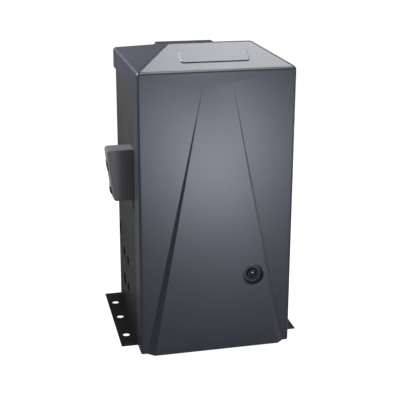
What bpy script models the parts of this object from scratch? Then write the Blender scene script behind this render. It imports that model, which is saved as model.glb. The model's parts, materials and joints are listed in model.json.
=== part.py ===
"""Chain-drive slide gate operator in a steel cabinet, with a moulded lift-off cover and key lock.

Metres, +Z up. The origin is on the underside of the base plate, at its centre, the front faces -Y.
"""

from math import acos, cos, pi, radians, sin, tau

import bmesh
import bpy
from mathutils import Vector

# Fits and stock
GAP = 0.0003
STEEL = 0.003
ROUND = 28
SMALL_ROUND = 14
PAST = 0.01  # how far a cutter runs past the face it cuts through

# Steel cabinet
CABINET_HALF_WIDTH = 0.1745
CABINET_HALF_DEPTH = 0.1535
PANEL_TOP = 0.650
REAR_LIP = 0.009
BRACE_HALF_DEPTH = 0.030
BRACE_SHEET = 0.0025
BRACE_LOW = 0.625
SHELF_TOP = 0.325
SHELF_LOW = 0.300
SHELF_HALF_DEPTH = 0.095
BELT_SLOT_X = (0.108, 0.160)
BELT_SLOT_HALF_DEPTH = 0.062
CONDUIT_X = (0.025, 0.125)
CONDUIT_Y = (-0.138, -0.078)
FLANGE_WIDTH = 0.0435
FLANGE_HOLE_RADIUS = 0.009
FLANGE_HOLE_X = CABINET_HALF_WIDTH + 0.024
FLANGE_HOLE_YS = (-0.097, 0.006, 0.094)
FRONT_RETURN = 0.018
INNER_HALF_WIDTH = CABINET_HALF_WIDTH - STEEL - GAP
CHAIN_HOLES = ((0.010, 0.153, 0.013), (0.010, 0.079, 0.014), (0.072, 0.153, 0.0145), (0.072, 0.077, 0.017))
OBLONG_HOLE_Y = 0.132
OBLONG_HOLE_Z = 0.197
OBLONG_HOLE_RADIUS = 0.012
OBLONG_HOLE_STRAIGHT = 0.016
WIRE_HOLE_RADIUS = 0.010

# Moulded cover
COVER_WALL = 0.004
COVER_HALF_WIDTH = 0.180
COVER_FRONT = -0.213
COVER_REAR = CABINET_HALF_DEPTH + 0.001 + COVER_WALL
COVER_BOTTOM = 0.006
EAVE_Z = 0.672
RIDGE_Z = 0.722
RIDGE_Y = COVER_FRONT + 0.083
RIDGE_HALF = 0.096
SKIRT_Z = 0.624
RETURN_DEPTH = 0.060
RETURN_BEND_Y = 0.042
RETURN_BEND_Z = 0.072
EAVE_ROUND = 0.005
HUMP_HALF = 0.078
HUMP_FRONT = 0.075
HUMP_LOW = 0.655
BADGE_HALF_LONG = 0.078
BADGE_HALF_HIGH = 0.021
BADGE_CORNER = 0.006
EMBOSS_TOP_Z = 0.640
EMBOSS_TOP_HALF = 0.034
EMBOSS_FOOT_HALF = 0.166
EMBOSS_FACE_HALF = 0.150
EMBOSS_RISE = 0.014
LOCK_X = 0.087
LOCK_Z = 0.186
RECESS_FLOOR_Y = -0.2115
RECESS_BACK_Y = -0.2040
CUP_RADIUS = 0.0275
LOCK_BORE_RADIUS = 0.0113
PLUG_RADIUS = 0.0070
CAM_LENGTH = 0.036
CAM_HALF = 0.0075

# Drive train
DRIVE_BASE_TOP = 0.103
DRIVE_BASE_HALF = 0.075
DRIVE_FOOT_HALF = 0.097
GEARBOX_HALF = 0.068
GEARBOX_LOW = DRIVE_BASE_TOP + GAP
GEARBOX_HIGH = 0.272
GEARBOX_FRONT = -0.045
GEARBOX_REAR = 0.045
GEARBOX_WALL = 0.008
GEARBOX_LID = 0.008
OUTPUT_BOSS_RADIUS = 0.031
WORM_BOSS_RADIUS = 0.026
OUTPUT_Z = 0.170
WORM_CENTRE_DISTANCE = 0.063
WORM_Z = OUTPUT_Z + WORM_CENTRE_DISTANCE
WHEEL_TEETH = 20
WHEEL_PITCH_RADIUS = 0.045
WORM_LEAD = tau * WHEEL_PITCH_RADIUS / WHEEL_TEETH
WORM_PITCH_RADIUS = WORM_CENTRE_DISTANCE - WHEEL_PITCH_RADIUS
WORM_TURNS = 4.25
WORM_STEPS = 16
WHEEL_HALF_WIDTH = 0.012
WHEEL_LEVELS = 4
OUTPUT_BEARING_RADIUS = 0.0235
OUTPUT_BEARING_WIDTH = 0.012
WORM_BEARING_RADIUS = 0.0200
WORM_BEARING_WIDTH = 0.011
SHAFT_RADIUS = 0.0125
WORM_SHAFT_RADIUS = 0.0085
MOTOR_SHAFT_RADIUS = 0.0095
CHAIN_PITCH = 0.0127
CHAIN_Y = 0.072
SPROCKET_TEETH = 24
IDLER_TEETH = 15
IDLER_X = 0.100
IDLER_Z = 0.1085
IDLER_AXLE_RADIUS = 0.006
IDLER_PLATE_Y = 0.0885
IDLER_PLATE_HALF = 0.125
IDLER_PLATE_TOP = 0.140
MOTOR_Z = 0.420
MOTOR_RADIUS = 0.0825
MOTOR_BORE = 0.0790
MOTOR_ENDS = (-0.100, 0.070)
STATOR_ENDS = (-0.045, 0.032)
ROTOR_RADIUS = 0.0448
CAPACITOR_RADIUS = 0.0225
SADDLE_XS = (-0.075, 0.033)
SADDLE_WIDTH = 0.012
SADDLE_TOP = 0.372
PULLEY_X = 0.135
PULLEY_HALF = 0.010
MOTOR_PULLEY_RADIUS = 0.028
WORM_PULLEY_RADIUS = 0.042

# Limit switch gear
LIMIT_X = -0.060
LIMIT_GEAR_TEETH = 24
LIMIT_GEAR_Y = (-0.096, -0.088)
LIMIT_SCREW_RADIUS = 0.006
LIMIT_NUT_RADIUS = 0.017
LIMIT_NUT_HALF = 0.004
LIMIT_MIDDLE_Y = -0.1435
LIMIT_NUT_OFFSET = 0.0052
LIMIT_UPRIGHT_YS = (-0.1840, -0.1030)
LIMIT_UPRIGHT_TOP = 0.195
STRIP_HALF = 0.0015
STRIP_REACH = 0.0125  # from the screw's axis to the strip's edge
LIMIT_TRAY_Z = (0.105, 0.108)
SWITCH_TOP = 0.1243
SWITCH_OFFSET = 0.0225
LEVER_PIVOT_OFFSET = 0.0125
LEVER_TIP_OFFSET = 0.0345
LEVER_PIVOT_Z = 0.1290
LEVER_TOP = 0.1545
LEVER_SHEET = 0.0014

# Electrics
BOARD_X = (-0.155, 0.065)
BOARD_Z = (0.515, 0.640)
BOARD_BACK = -0.1185
BOARD_FRONT = BOARD_BACK - 0.0016
BRACKET_FRONT = -0.1120
BRACKET_Z = (0.505, 0.645)
BRACKET_LIP = -0.095
STANDOFF_INSET = 0.006
POWER_BOX_X = (0.095, 0.155)
POWER_BOX_Y = (-0.150, -0.105)
POWER_BOX_Z = (0.345, 0.455)
POWER_BOX_WALL = 0.002
TOGGLE_X = 0.125
TOGGLE_Z = 0.425
TOGGLE_PIVOT_Y = -0.1565
TOGGLE_LEAN = radians(12)

# Side control station on the left panel
STATION_Y = (-0.114, -0.060)
STATION_Z = (0.353, 0.478)
STATION_OUT = (0.222, 0.237)
STATION_WALL = 0.0025
STATION_OUTWARD = Vector((STATION_Z[0] - STATION_Z[1], 0.0, STATION_OUT[0] - STATION_OUT[1])).normalized()
BUTTON_Z = 0.378
BUTTON_RADIUS = 0.0105
SOUNDER_Z = 0.436
SOUNDER_RADIUS = 0.0150


def clear_scene():
    for leftover in list(bpy.data.objects):
        bpy.data.objects.remove(leftover, do_unlink=True)


def finish(name, colour, roughness, metallic=0.0):
    material = bpy.data.materials.new(name)
    material.use_nodes = True
    shader = material.node_tree.nodes["Principled BSDF"]
    shader.inputs["Base Color"].default_value = (*colour, 1.0)
    shader.inputs["Roughness"].default_value = roughness
    shader.inputs["Metallic"].default_value = metallic
    return material


def to_world(axis, first, second, level):
    """Outline coordinates are (y, z) along X, (x, z) along Y and (x, y) along Z."""
    if axis == "X":
        return (level, first, second)
    if axis == "Y":
        return (first, level, second)
    return (first, second, level)


def closed(shape):
    bmesh.ops.recalc_face_normals(shape, faces=shape.faces)
    return shape


def box(low, high):
    outline = [(low[0], low[1]), (high[0], low[1]), (high[0], high[1]), (low[0], high[1])]
    return prism(outline, "Z", low[2], high[2])


def prism(outline, axis, low, high):
    shape = bmesh.new()
    ends = [[shape.verts.new(to_world(axis, a, b, level)) for a, b in outline] for level in (low, high)]
    for end in ends:
        shape.faces.new(end)
    for index in range(len(outline)):
        after = (index + 1) % len(outline)
        shape.faces.new((ends[0][index], ends[0][after], ends[1][after], ends[1][index]))
    return closed(shape)


def turned(profile, axis, centre, segments=ROUND, phase=0.0):
    """Turn (radius, level) points about an axis; a profile that never meets the axis is a ring."""
    shape = bmesh.new()
    rings = []
    for radius, level in profile:
        count = segments if radius else 1
        angles = [phase + tau * step / segments for step in range(count)]
        spots = [(centre[0] + radius * cos(a), centre[1] + radius * sin(a)) for a in angles]
        rings.append([shape.verts.new(to_world(axis, *spot, level)) for spot in spots])
    is_ring = all(radius for radius, _ in profile)
    following = rings[1:] + (rings[:1] if is_ring else [])
    for ring, other in zip(rings, following):
        for step in range(segments):
            after = (step + 1) % segments
            if len(ring) == 1:
                shape.faces.new((ring[0], other[step], other[after]))
            elif len(other) == 1:
                shape.faces.new((ring[step], ring[after], other[0]))
            else:
                shape.faces.new((ring[step], ring[after], other[after], other[step]))
    return closed(shape)


def rod(axis, centre, radius, low, high, segments=ROUND, chamfer=0.0):
    if not chamfer:
        return turned([(0.0, low), (radius, low), (radius, high), (0.0, high)], axis, centre, segments)
    slim = radius - chamfer
    profile = [(0.0, low), (slim, low), (radius, low + chamfer)]
    profile += [(radius, high - chamfer), (slim, high), (0.0, high)]
    return turned(profile, axis, centre, segments)


def tube(axis, centre, outer, inner, low, high, segments=ROUND):
    return turned([(inner, low), (outer, low), (outer, high), (inner, high)], axis, centre, segments)


def merged(shapes):
    total = bmesh.new()
    for shape in shapes:
        holder = bpy.data.meshes.new("holder")
        shape.to_mesh(holder)
        total.from_mesh(holder)
        bpy.data.meshes.remove(holder)
    return total


def hull(points):
    shape = bmesh.new()
    for point in points:
        shape.verts.new(point)
    result = bmesh.ops.convex_hull(shape, input=shape.verts)
    loose = {item for item in result["geom_interior"] + result["geom_unused"] if item.is_valid}
    bmesh.ops.delete(shape, geom=list(loose), context="VERTS")
    flat = [edge for edge in shape.edges if len(edge.link_faces) == 2 and edge.calc_face_angle() < radians(1)]
    bmesh.ops.dissolve_edges(shape, edges=flat, use_verts=False, use_face_split=False)
    return closed(shape)


def rounded(shape, width, segments, wanted):
    """Bevel the edges whose middle point and direction the wanted test picks."""
    edges = []
    for edge in shape.edges:
        middle = (edge.verts[0].co + edge.verts[1].co) / 2
        run = (edge.verts[1].co - edge.verts[0].co).normalized()
        if wanted(middle, run):
            edges.append(edge)
    bmesh.ops.bevel(
        shape, geom=edges, offset=width, segments=segments, profile=0.5, affect="EDGES", clamp_overlap=True
    )
    return closed(shape)


def mesh_object(name, shape, place):
    mesh = bpy.data.meshes.new(name)
    bmesh.ops.triangulate(shape, faces=shape.faces)
    bmesh.ops.translate(shape, verts=shape.verts, vec=-Vector(place))
    shape.to_mesh(mesh)
    shape.free()
    mesh.shade_smooth()
    mesh.set_sharp_from_angle(angle=radians(35))
    item = bpy.data.objects.new(name, mesh)
    item.location = place
    bpy.context.scene.collection.objects.link(item)
    return item


def piece(name, material, shape, *steps, pivot=(0.0, 0.0, 0.0)):
    """One named sub-part: a first shape, then shapes added to it or cut from it in turn."""
    item = mesh_object(name, shape, pivot)
    item.data.materials.append(material)
    for number, (kind, tool_shape) in enumerate(steps, start=1):
        tool = mesh_object(f"{name}_{kind}_{number}", tool_shape, (0.0, 0.0, 0.0))
        tool.hide_render = True
        tool.display_type = "WIRE"
        boolean = item.modifiers.new(f"{kind}_{number}", "BOOLEAN")
        boolean.operation = "UNION" if kind == "add" else "DIFFERENCE"
        boolean.solver = "EXACT"
        boolean.object = tool
    return item


def capsule(centre, radius, straight, steps=8):
    """Outline of an upright oblong hole."""
    points = []
    for end, start in ((1, 0.0), (-1, pi)):
        for step in range(steps + 1):
            angle = start + pi * step / steps
            middle = centre[1] + end * straight / 2
            points.append((centre[0] + radius * cos(angle), middle + radius * sin(angle)))
    return points


def tooth_outline(centre, teeth, root, tip, root_half, tip_half, phase):
    points = []
    for tooth in range(teeth):
        middle = phase + tau * tooth / teeth
        for radius, half in ((root, -root_half), (tip, -tip_half), (tip, tip_half), (root, root_half)):
            angle = middle + half / radius
            points.append((centre[0] + radius * cos(angle), centre[1] + radius * sin(angle)))
    return points


# ---------------------------------------------------------------- cabinet


def side_panel(name, side, material):
    inner = side * (CABINET_HALF_WIDTH - STEEL)
    outer = side * CABINET_HALF_WIDTH
    tip = side * (CABINET_HALF_WIDTH + FLANGE_WIDTH)
    bend = STEEL * 0.7
    outline = [(inner, bend), (inner + side * bend, 0.0), (tip, 0.0), (tip, STEEL)]
    outline += [(outer, STEEL), (outer, PANEL_TOP), (inner, PANEL_TOP)]
    web = prism(outline, "Y", -CABINET_HALF_DEPTH, CABINET_HALF_DEPTH)
    edges_x = sorted((outer, outer - side * FRONT_RETURN))
    front_return = box(
        (edges_x[0], -CABINET_HALF_DEPTH, STEEL + GAP), (edges_x[1], -CABINET_HALF_DEPTH + STEEL, PANEL_TOP)
    )
    reach = sorted((inner - side * PAST, outer + side * PAST))
    tools = [rod("X", (y, z), radius, *reach, 18) for y, z, radius in CHAIN_HOLES]
    oblong = capsule((OBLONG_HOLE_Y, OBLONG_HOLE_Z), OBLONG_HOLE_RADIUS, OBLONG_HOLE_STRAIGHT)
    tools.append(prism(oblong, "X", *reach))
    for y in FLANGE_HOLE_YS:
        tools.append(rod("Z", (side * FLANGE_HOLE_X, y), FLANGE_HOLE_RADIUS, -PAST, PAST, SMALL_ROUND))
    if side < 0:
        wire_hole = (sum(STATION_Y) / 2, sum(STATION_Z) / 2)
        tools.append(rod("X", wire_hole, WIRE_HOLE_RADIUS, *reach, SMALL_ROUND))
    piece(name, material, web, ("add", front_return), ("cut", merged(tools)))


def rear_panel(material):
    inner = CABINET_HALF_DEPTH - STEEL
    lip = CABINET_HALF_DEPTH - REAR_LIP
    half = INNER_HALF_WIDTH
    outline = [(-half, lip), (-half + STEEL, lip), (-half + STEEL, inner), (half - STEEL, inner)]
    outline += [(half - STEEL, lip), (half, lip), (half, CABINET_HALF_DEPTH), (-half, CABINET_HALF_DEPTH)]
    piece("rear_panel", material, prism(outline, "Z", STEEL + GAP, PANEL_TOP))


def base_plate(material):
    plate = box((-INNER_HALF_WIDTH, -CABINET_HALF_DEPTH, 0.0), (INNER_HALF_WIDTH, CABINET_HALF_DEPTH, STEEL))
    conduit = rounded(
        box((CONDUIT_X[0], CONDUIT_Y[0], -PAST), (CONDUIT_X[1], CONDUIT_Y[1], PAST)), 0.010, 3,
        lambda middle, run: abs(run.z) > 0.9,
    )
    piece("base_plate", material, plate, ("cut", conduit))


def top_brace(material):
    half, inner, web = BRACE_HALF_DEPTH, BRACE_HALF_DEPTH - BRACE_SHEET, PANEL_TOP - BRACE_SHEET
    outline = [(-half, BRACE_LOW), (-inner, BRACE_LOW), (-inner, web), (inner, web)]
    outline += [(inner, BRACE_LOW), (half, BRACE_LOW), (half, PANEL_TOP), (-half, PANEL_TOP)]
    piece("top_brace", material, prism(outline, "X", -INNER_HALF_WIDTH, INNER_HALF_WIDTH))


def motor_shelf(material):
    half, inner, web = INNER_HALF_WIDTH, INNER_HALF_WIDTH - STEEL, SHELF_TOP - STEEL
    outline = [(-half, SHELF_LOW), (-inner, SHELF_LOW), (-inner, web), (inner, web)]
    outline += [(inner, SHELF_LOW), (half, SHELF_LOW), (half, SHELF_TOP), (-half, SHELF_TOP)]
    belt_slot = box(
        (BELT_SLOT_X[0], -BELT_SLOT_HALF_DEPTH, web - PAST),
        (BELT_SLOT_X[1], BELT_SLOT_HALF_DEPTH, SHELF_TOP + PAST),
    )
    shelf = prism(outline, "Y", -SHELF_HALF_DEPTH, SHELF_HALF_DEPTH)
    piece("motor_shelf", material, shelf, ("cut", belt_slot))


# ---------------------------------------------------------------- cover


def cover_form(inset, bottom, softness):
    """The hipped outer form, or the hollow inside it when inset by the wall."""
    side = COVER_HALF_WIDTH - inset
    front, rear = COVER_FRONT + inset, COVER_REAR - inset
    eave, ridge = EAVE_Z - 0.8 * inset, RIDGE_Z - 1.15 * inset
    points = [(x, y, z) for x in (-side, side) for y in (front, rear) for z in (bottom, eave)]
    points += [(-RIDGE_HALF, RIDGE_Y, ridge), (RIDGE_HALF, RIDGE_Y, ridge)]
    form = hull(points)
    return rounded(form, softness, 3, lambda middle, run: middle.z > bottom + 0.01)


def emboss_form(inset, top, bottom):
    """The wedge that comes out of the front face at EMBOSS_TOP_Z and has its full rise at the bottom."""
    side_slope = (EMBOSS_FOOT_HALF - EMBOSS_FACE_HALF) / EMBOSS_RISE
    depth = COVER_WALL * 0.6
    back = COVER_FRONT + inset + depth
    points = []
    for z in (top, bottom):
        share = (EMBOSS_TOP_Z - z) / (EMBOSS_TOP_Z - COVER_BOTTOM)
        rise = EMBOSS_RISE * share
        foot_half = EMBOSS_TOP_HALF + (EMBOSS_FOOT_HALF - EMBOSS_TOP_HALF) * share - inset
        for side in (-1, 1):
            points.append((side * (foot_half + side_slope * depth), back, z))
            points.append((side * (foot_half - side_slope * rise), COVER_FRONT + inset - rise, z))
    return hull(points)


def hump_form(inset):
    """A low boss across the rear eave; the hollow's rear is set a little further in than its sides."""
    half, rear = HUMP_HALF - inset, COVER_REAR - 1.1 * inset - 0.0004
    top_half, top = half - 0.006, EAVE_Z + 0.011 - inset
    points = []
    for side in (-1, 1):
        points += [(side * half, HUMP_FRONT, HUMP_LOW), (side * half, rear, HUMP_LOW)]
        points += [(side * half, rear, EAVE_Z - 0.004), (side * top_half, rear - 0.003, top)]
        points += [(side * top_half, HUMP_FRONT + 0.030, top)]
    return hull(points)


def rear_opening():
    """Cuts the lower rear of the cover away, which leaves a skirt and two front returns."""
    edge = COVER_FRONT + RETURN_DEPTH
    low, rear, half = -0.05, 0.30, 0.3
    steps = 8
    outline = [(edge, low), (rear, low), (rear, SKIRT_Z)]
    for step in range(steps + 1):
        angle = pi / 2 * step / steps
        outline.append((edge + RETURN_BEND_Y * (1 - sin(angle)), SKIRT_Z - RETURN_BEND_Z * (1 - cos(angle))))
    return prism(outline, "X", -half, half)


def emboss_face_y(z):
    return COVER_FRONT - EMBOSS_RISE * (EMBOSS_TOP_Z - z) / (EMBOSS_TOP_Z - COVER_BOTTOM)


def badge_form():
    """A plain raised panel on the front slope."""
    slope = Vector((0.0, RIDGE_Y - COVER_FRONT, RIDGE_Z - EAVE_Z))
    up = slope.normalized()
    out = Vector((0.0, up.z * -1.0, up.y))
    middle = Vector((0.0, COVER_FRONT, EAVE_Z)) + slope / 2
    shape = bmesh.new()
    rings = []
    for shift, height in ((0.0, -0.001), (0.0, 0.0008), (0.0012, 0.002)):
        ring = []
        for quarter, (sx, sy) in enumerate(((1, 1), (-1, 1), (-1, -1), (1, -1))):
            for step in range(4):
                angle = pi / 2 * (quarter + step / 3)
                along = sx * (BADGE_HALF_LONG - BADGE_CORNER) + (BADGE_CORNER - shift) * cos(angle)
                rise = sy * (BADGE_HALF_HIGH - BADGE_CORNER) + (BADGE_CORNER - shift) * sin(angle)
                ring.append(shape.verts.new(middle + Vector((along, 0, 0)) + up * rise + out * height))
        rings.append(ring)
    shape.faces.new(rings[0])
    shape.faces.new(rings[-1])
    for ring, other in zip(rings, rings[1:]):
        for index in range(len(ring)):
            after = (index + 1) % len(ring)
            shape.faces.new((ring[index], ring[after], other[after], other[index]))
    return closed(shape)


def cover(material):
    face = emboss_face_y(LOCK_Z)
    centre = (LOCK_X, LOCK_Z)
    cup = rod("Y", centre, CUP_RADIUS, face + 0.0015, RECESS_BACK_Y)
    recess = turned(
        [(0.0, face - 0.006), (0.0245, face - 0.006), (0.0230, face + 0.0005), (0.0195, RECESS_FLOOR_Y),
         (0.0, RECESS_FLOOR_Y)], "Y", centre, 32,
    )
    bore = rod("Y", centre, LOCK_BORE_RADIUS, face, RECESS_BACK_Y + PAST, 20)
    outer_top, inner_top = EMBOSS_TOP_Z + 0.010, EMBOSS_TOP_Z - 0.090
    piece(
        "cover", material, cover_form(0.0, COVER_BOTTOM, EAVE_ROUND),
        ("add", emboss_form(0.0, outer_top, COVER_BOTTOM)), ("add", hump_form(0.0)),
        ("add", badge_form()), ("cut", cover_form(COVER_WALL, -5 * PAST, EAVE_ROUND - 0.002)),
        ("cut", emboss_form(COVER_WALL, inner_top, -4 * PAST)),
        ("cut", hump_form(COVER_WALL)), ("cut", rear_opening()),
        ("add", cup), ("cut", recess), ("cut", bore),
    )


def cover_lock(metal):
    centre = (LOCK_X, LOCK_Z)
    pivot = (LOCK_X, RECESS_FLOOR_Y, LOCK_Z)
    front = RECESS_FLOOR_Y - GAP
    bore, head, barrel = PLUG_RADIUS + GAP, 0.0145, LOCK_BORE_RADIUS - GAP
    head_front, body_back = front - 0.0060, -0.1975
    profile = [(bore, head_front), (head - 0.0017, head_front), (head, head_front + 0.0018), (head, front)]
    profile += [(barrel, front), (barrel, body_back), (bore, body_back)]
    piece("lock_body", metal, turned(profile, "Y", centre, 24))

    nut_front, nut_back = RECESS_BACK_Y + 0.0005, RECESS_BACK_Y + 0.0050
    nut_bore = rod("Y", centre, LOCK_BORE_RADIUS, nut_front - PAST, nut_back + PAST, 20)
    piece("lock_nut", metal, rod("Y", centre, 0.0160, nut_front, nut_back, 6), ("cut", nut_bore))

    plug_front, tail, tail_back = -0.2172, 0.0042, -0.1890
    cam_front = body_back + 0.0025
    profile = [(0.0, plug_front), (PLUG_RADIUS - 0.0008, plug_front), (PLUG_RADIUS, plug_front + 0.0008)]
    profile += [(PLUG_RADIUS, cam_front - GAP), (tail, cam_front - GAP), (tail, tail_back), (0.0, tail_back)]
    key_half, key_width, key_depth = 0.0040, 0.0009, 0.0042
    slot = box(
        (LOCK_X - key_width, plug_front - PAST, LOCK_Z - key_half),
        (LOCK_X + key_width, plug_front + key_depth, LOCK_Z + key_half),
    )
    piece("lock_plug", metal, turned(profile, "Y", centre, 20), ("cut", slot), pivot=pivot)

    outline = [(LOCK_X - 0.007, LOCK_Z - CAM_LENGTH), (LOCK_X + 0.007, LOCK_Z - CAM_LENGTH)]
    for quarter in range(5):
        angle = pi * quarter / 4
        outline.append((LOCK_X + CAM_HALF * cos(angle), LOCK_Z + CAM_HALF * sin(angle)))
    cam_back = cam_front + STEEL
    cam_hole = rod("Y", centre, tail + GAP, cam_front - PAST, cam_back + PAST, SMALL_ROUND)
    piece("lock_cam", metal, prism(outline, "Y", cam_front, cam_back), ("cut", cam_hole), pivot=pivot)


def lock_catch(material):
    """A screwed angle whose shelf the cam turns under."""
    seat = -CABINET_HALF_DEPTH - GAP
    left, low = 0.104, LOCK_Z + CAM_HALF + 0.0015
    foot = box((left, seat - STEEL, low), (0.170, seat, low + 0.029))
    shelf = box((left, -0.200, low), (0.150, seat, low + STEEL))
    piece("lock_catch", material, foot, ("add", shelf))


# ---------------------------------------------------------------- gearbox and output


def drive_base(material):
    """A folded hat section with a foot along each side."""
    low, top, foot, half = STEEL + GAP, DRIVE_BASE_TOP, DRIVE_FOOT_HALF, DRIVE_BASE_HALF
    inner = half - STEEL
    outline = [(-foot, low), (-inner, low), (-inner, top - STEEL), (inner, top - STEEL), (inner, low)]
    outline += [(foot, low), (foot, low + STEEL), (half, low + STEEL), (half, top)]
    outline += [(-half, top), (-half, low + STEEL), (-foot, low + STEEL)]
    piece("drive_base", material, prism(outline, "Y", -0.060, 0.056))


def gearbox_block(front, rear):
    """The gearbox outline between two depths, with its upper corners rounded."""
    block = box((-GEARBOX_HALF, front, GEARBOX_LOW), (GEARBOX_HALF, rear, GEARBOX_HIGH))
    return rounded(block, 0.006, 2, lambda middle, run: abs(run.y) > 0.9 and middle.z > OUTPUT_Z)


def gearbox_housing(material):
    inner = GEARBOX_HALF - GEARBOX_WALL
    cavity = box(
        (-inner, GEARBOX_FRONT - PAST, GEARBOX_LOW + GEARBOX_WALL),
        (inner, GEARBOX_REAR - GEARBOX_WALL, GEARBOX_HIGH - GEARBOX_WALL),
    )
    output = (0.0, OUTPUT_Z)
    worm = (0.0, WORM_Z)
    seat, opening, shoulder, end = OUTPUT_BEARING_RADIUS + GAP, 0.0175, 0.0510, 0.070
    output_pocket = turned(
        [(0.0, 0.030), (seat, 0.030), (seat, shoulder), (opening, shoulder), (opening, end), (0.0, end)],
        "Y", output, 24,
    )
    seat, opening, shoulder, end = WORM_BEARING_RADIUS + GAP, 0.0125, 0.074, 0.090
    worm_pocket = turned(
        [(0.0, -shoulder), (seat, -shoulder), (seat, shoulder), (opening, shoulder), (opening, end),
         (0.0, end)], "X", worm, 24,
    )
    worm_boss = rod("X", worm, WORM_BOSS_RADIUS, -0.080, 0.080)
    piece(
        "gearbox_housing", material, gearbox_block(GEARBOX_FRONT, GEARBOX_REAR),
        ("add", rod("Y", output, OUTPUT_BOSS_RADIUS, 0.040, 0.055)), ("add", worm_boss),
        ("cut", cavity), ("cut", output_pocket), ("cut", worm_pocket),
    )


def gearbox_cover(material):
    back = GEARBOX_FRONT - GAP
    output = (0.0, OUTPUT_Z)
    seat, opening, shoulder = OUTPUT_BEARING_RADIUS + GAP, 0.0175, -0.0593
    pocket = turned(
        [(0.0, -0.070), (opening, -0.070), (opening, shoulder), (seat, shoulder), (seat, -0.040),
         (0.0, -0.040)], "Y", output, 24,
    )
    piece(
        "gearbox_cover", material, gearbox_block(back - GEARBOX_LID, back),
        ("add", rod("Y", output, OUTPUT_BOSS_RADIUS, -0.063, -0.050)), ("cut", pocket),
    )


def gearbox_bearings(material):
    for name, low in (("output_front_bearing", -0.0585), ("output_rear_bearing", 0.0385)):
        bore, high = SHAFT_RADIUS + GAP, low + OUTPUT_BEARING_WIDTH
        piece(name, material, tube("Y", (0.0, OUTPUT_Z), OUTPUT_BEARING_RADIUS, bore, low, high, 22))
    for name, low in (("worm_left_bearing", -0.0725), ("worm_right_bearing", 0.0615)):
        bore, high = WORM_SHAFT_RADIUS + GAP, low + WORM_BEARING_WIDTH
        piece(name, material, tube("X", (0.0, WORM_Z), WORM_BEARING_RADIUS, bore, low, high, 22))


def output_shaft(material):
    shaft = rod("Y", (0.0, OUTPUT_Z), SHAFT_RADIUS, -0.100, 0.084, 24, chamfer=0.0015)
    piece("output_shaft", material, shaft, pivot=(0.0, 0.0, OUTPUT_Z))


def worm_wheel(material):
    """Teeth slant with the worm's lead angle: each level of the rim is turned a little further."""
    root, tip, root_half, tip_half = 0.0405, 0.0485, 0.0040, 0.0016
    shape = bmesh.new()
    rings = []
    for level in range(WHEEL_LEVELS):
        y = WHEEL_HALF_WIDTH * (2 * level / (WHEEL_LEVELS - 1) - 1)
        slide = y * WORM_LEAD / (tau * WORM_PITCH_RADIUS)
        phase = pi / 2 - slide / WHEEL_PITCH_RADIUS
        outline = tooth_outline((0.0, OUTPUT_Z), WHEEL_TEETH, root, tip, root_half, tip_half, phase)
        rings.append([shape.verts.new((x, y, z)) for x, z in outline])
    shape.faces.new(rings[0])
    shape.faces.new(rings[-1])
    for ring, other in zip(rings, rings[1:]):
        for index in range(len(ring)):
            after = (index + 1) % len(ring)
            shape.faces.new((ring[index], ring[after], other[after], other[index]))
    centre = (0.0, OUTPUT_Z)
    piece(
        "worm_wheel", material, closed(shape), ("add", rod("Y", centre, 0.024, -0.030, 0.030, 24)),
        ("cut", rod("Y", centre, SHAFT_RADIUS + GAP, -0.05, 0.05, 24)), pivot=(0.0, 0.0, OUTPUT_Z),
    )


def worm_shaft(material):
    """A right-hand thread on the shaft; a gap between its turns faces the wheel at rest."""
    root = WORM_PITCH_RADIUS - 0.0045
    tip = WORM_PITCH_RADIUS + 0.0035
    left, right, thread_half, shoulder = -0.0735, 0.150, 0.041, 0.044
    profile = [(0.0, left), (WORM_SHAFT_RADIUS, left), (WORM_SHAFT_RADIUS, -shoulder), (root, -thread_half)]
    profile += [(root, thread_half), (WORM_SHAFT_RADIUS, shoulder)]
    profile += [(WORM_SHAFT_RADIUS, right), (0.0, right)]
    core = turned(profile, "X", (0.0, WORM_Z), 20)
    buried = root - 0.0015
    section = [(buried, -0.0042), (tip, -0.0018), (tip, 0.0018), (buried, 0.0042)]
    thread = bmesh.new()
    rings = []
    count = int(WORM_TURNS * WORM_STEPS)
    for step in range(count + 1):
        turn = (step / WORM_STEPS) - WORM_TURNS / 2
        angle = -pi / 2 + tau * (turn + 0.5)
        middle = WORM_LEAD * turn
        out_y, out_z = cos(angle), sin(angle)
        ring = [(middle + along, reach * out_y, WORM_Z + reach * out_z) for reach, along in section]
        rings.append([thread.verts.new(spot) for spot in ring])
    thread.faces.new(rings[0])
    thread.faces.new(rings[-1])
    for ring, other in zip(rings, rings[1:]):
        for index in range(len(ring)):
            after = (index + 1) % len(ring)
            thread.faces.new((ring[index], ring[after], other[after], other[index]))
    piece("worm_shaft", material, core, ("add", closed(thread)), pivot=(0.0, 0.0, WORM_Z))


def pulley(name, material, radius, bore, centre_z):
    mid = PULLEY_X
    rim, groove = radius + 0.002, radius - 0.0065
    mouth_half, groove_half = 0.0070, 0.0045
    profile = [(bore, mid - PULLEY_HALF), (rim, mid - PULLEY_HALF), (rim, mid - mouth_half)]
    profile += [(groove, mid - groove_half), (groove, mid + groove_half), (rim, mid + mouth_half)]
    profile += [(rim, mid + PULLEY_HALF), (bore, mid + PULLEY_HALF)]
    piece(name, material, turned(profile, "X", (0.0, centre_z), 24), pivot=(mid, 0.0, centre_z))


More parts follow.
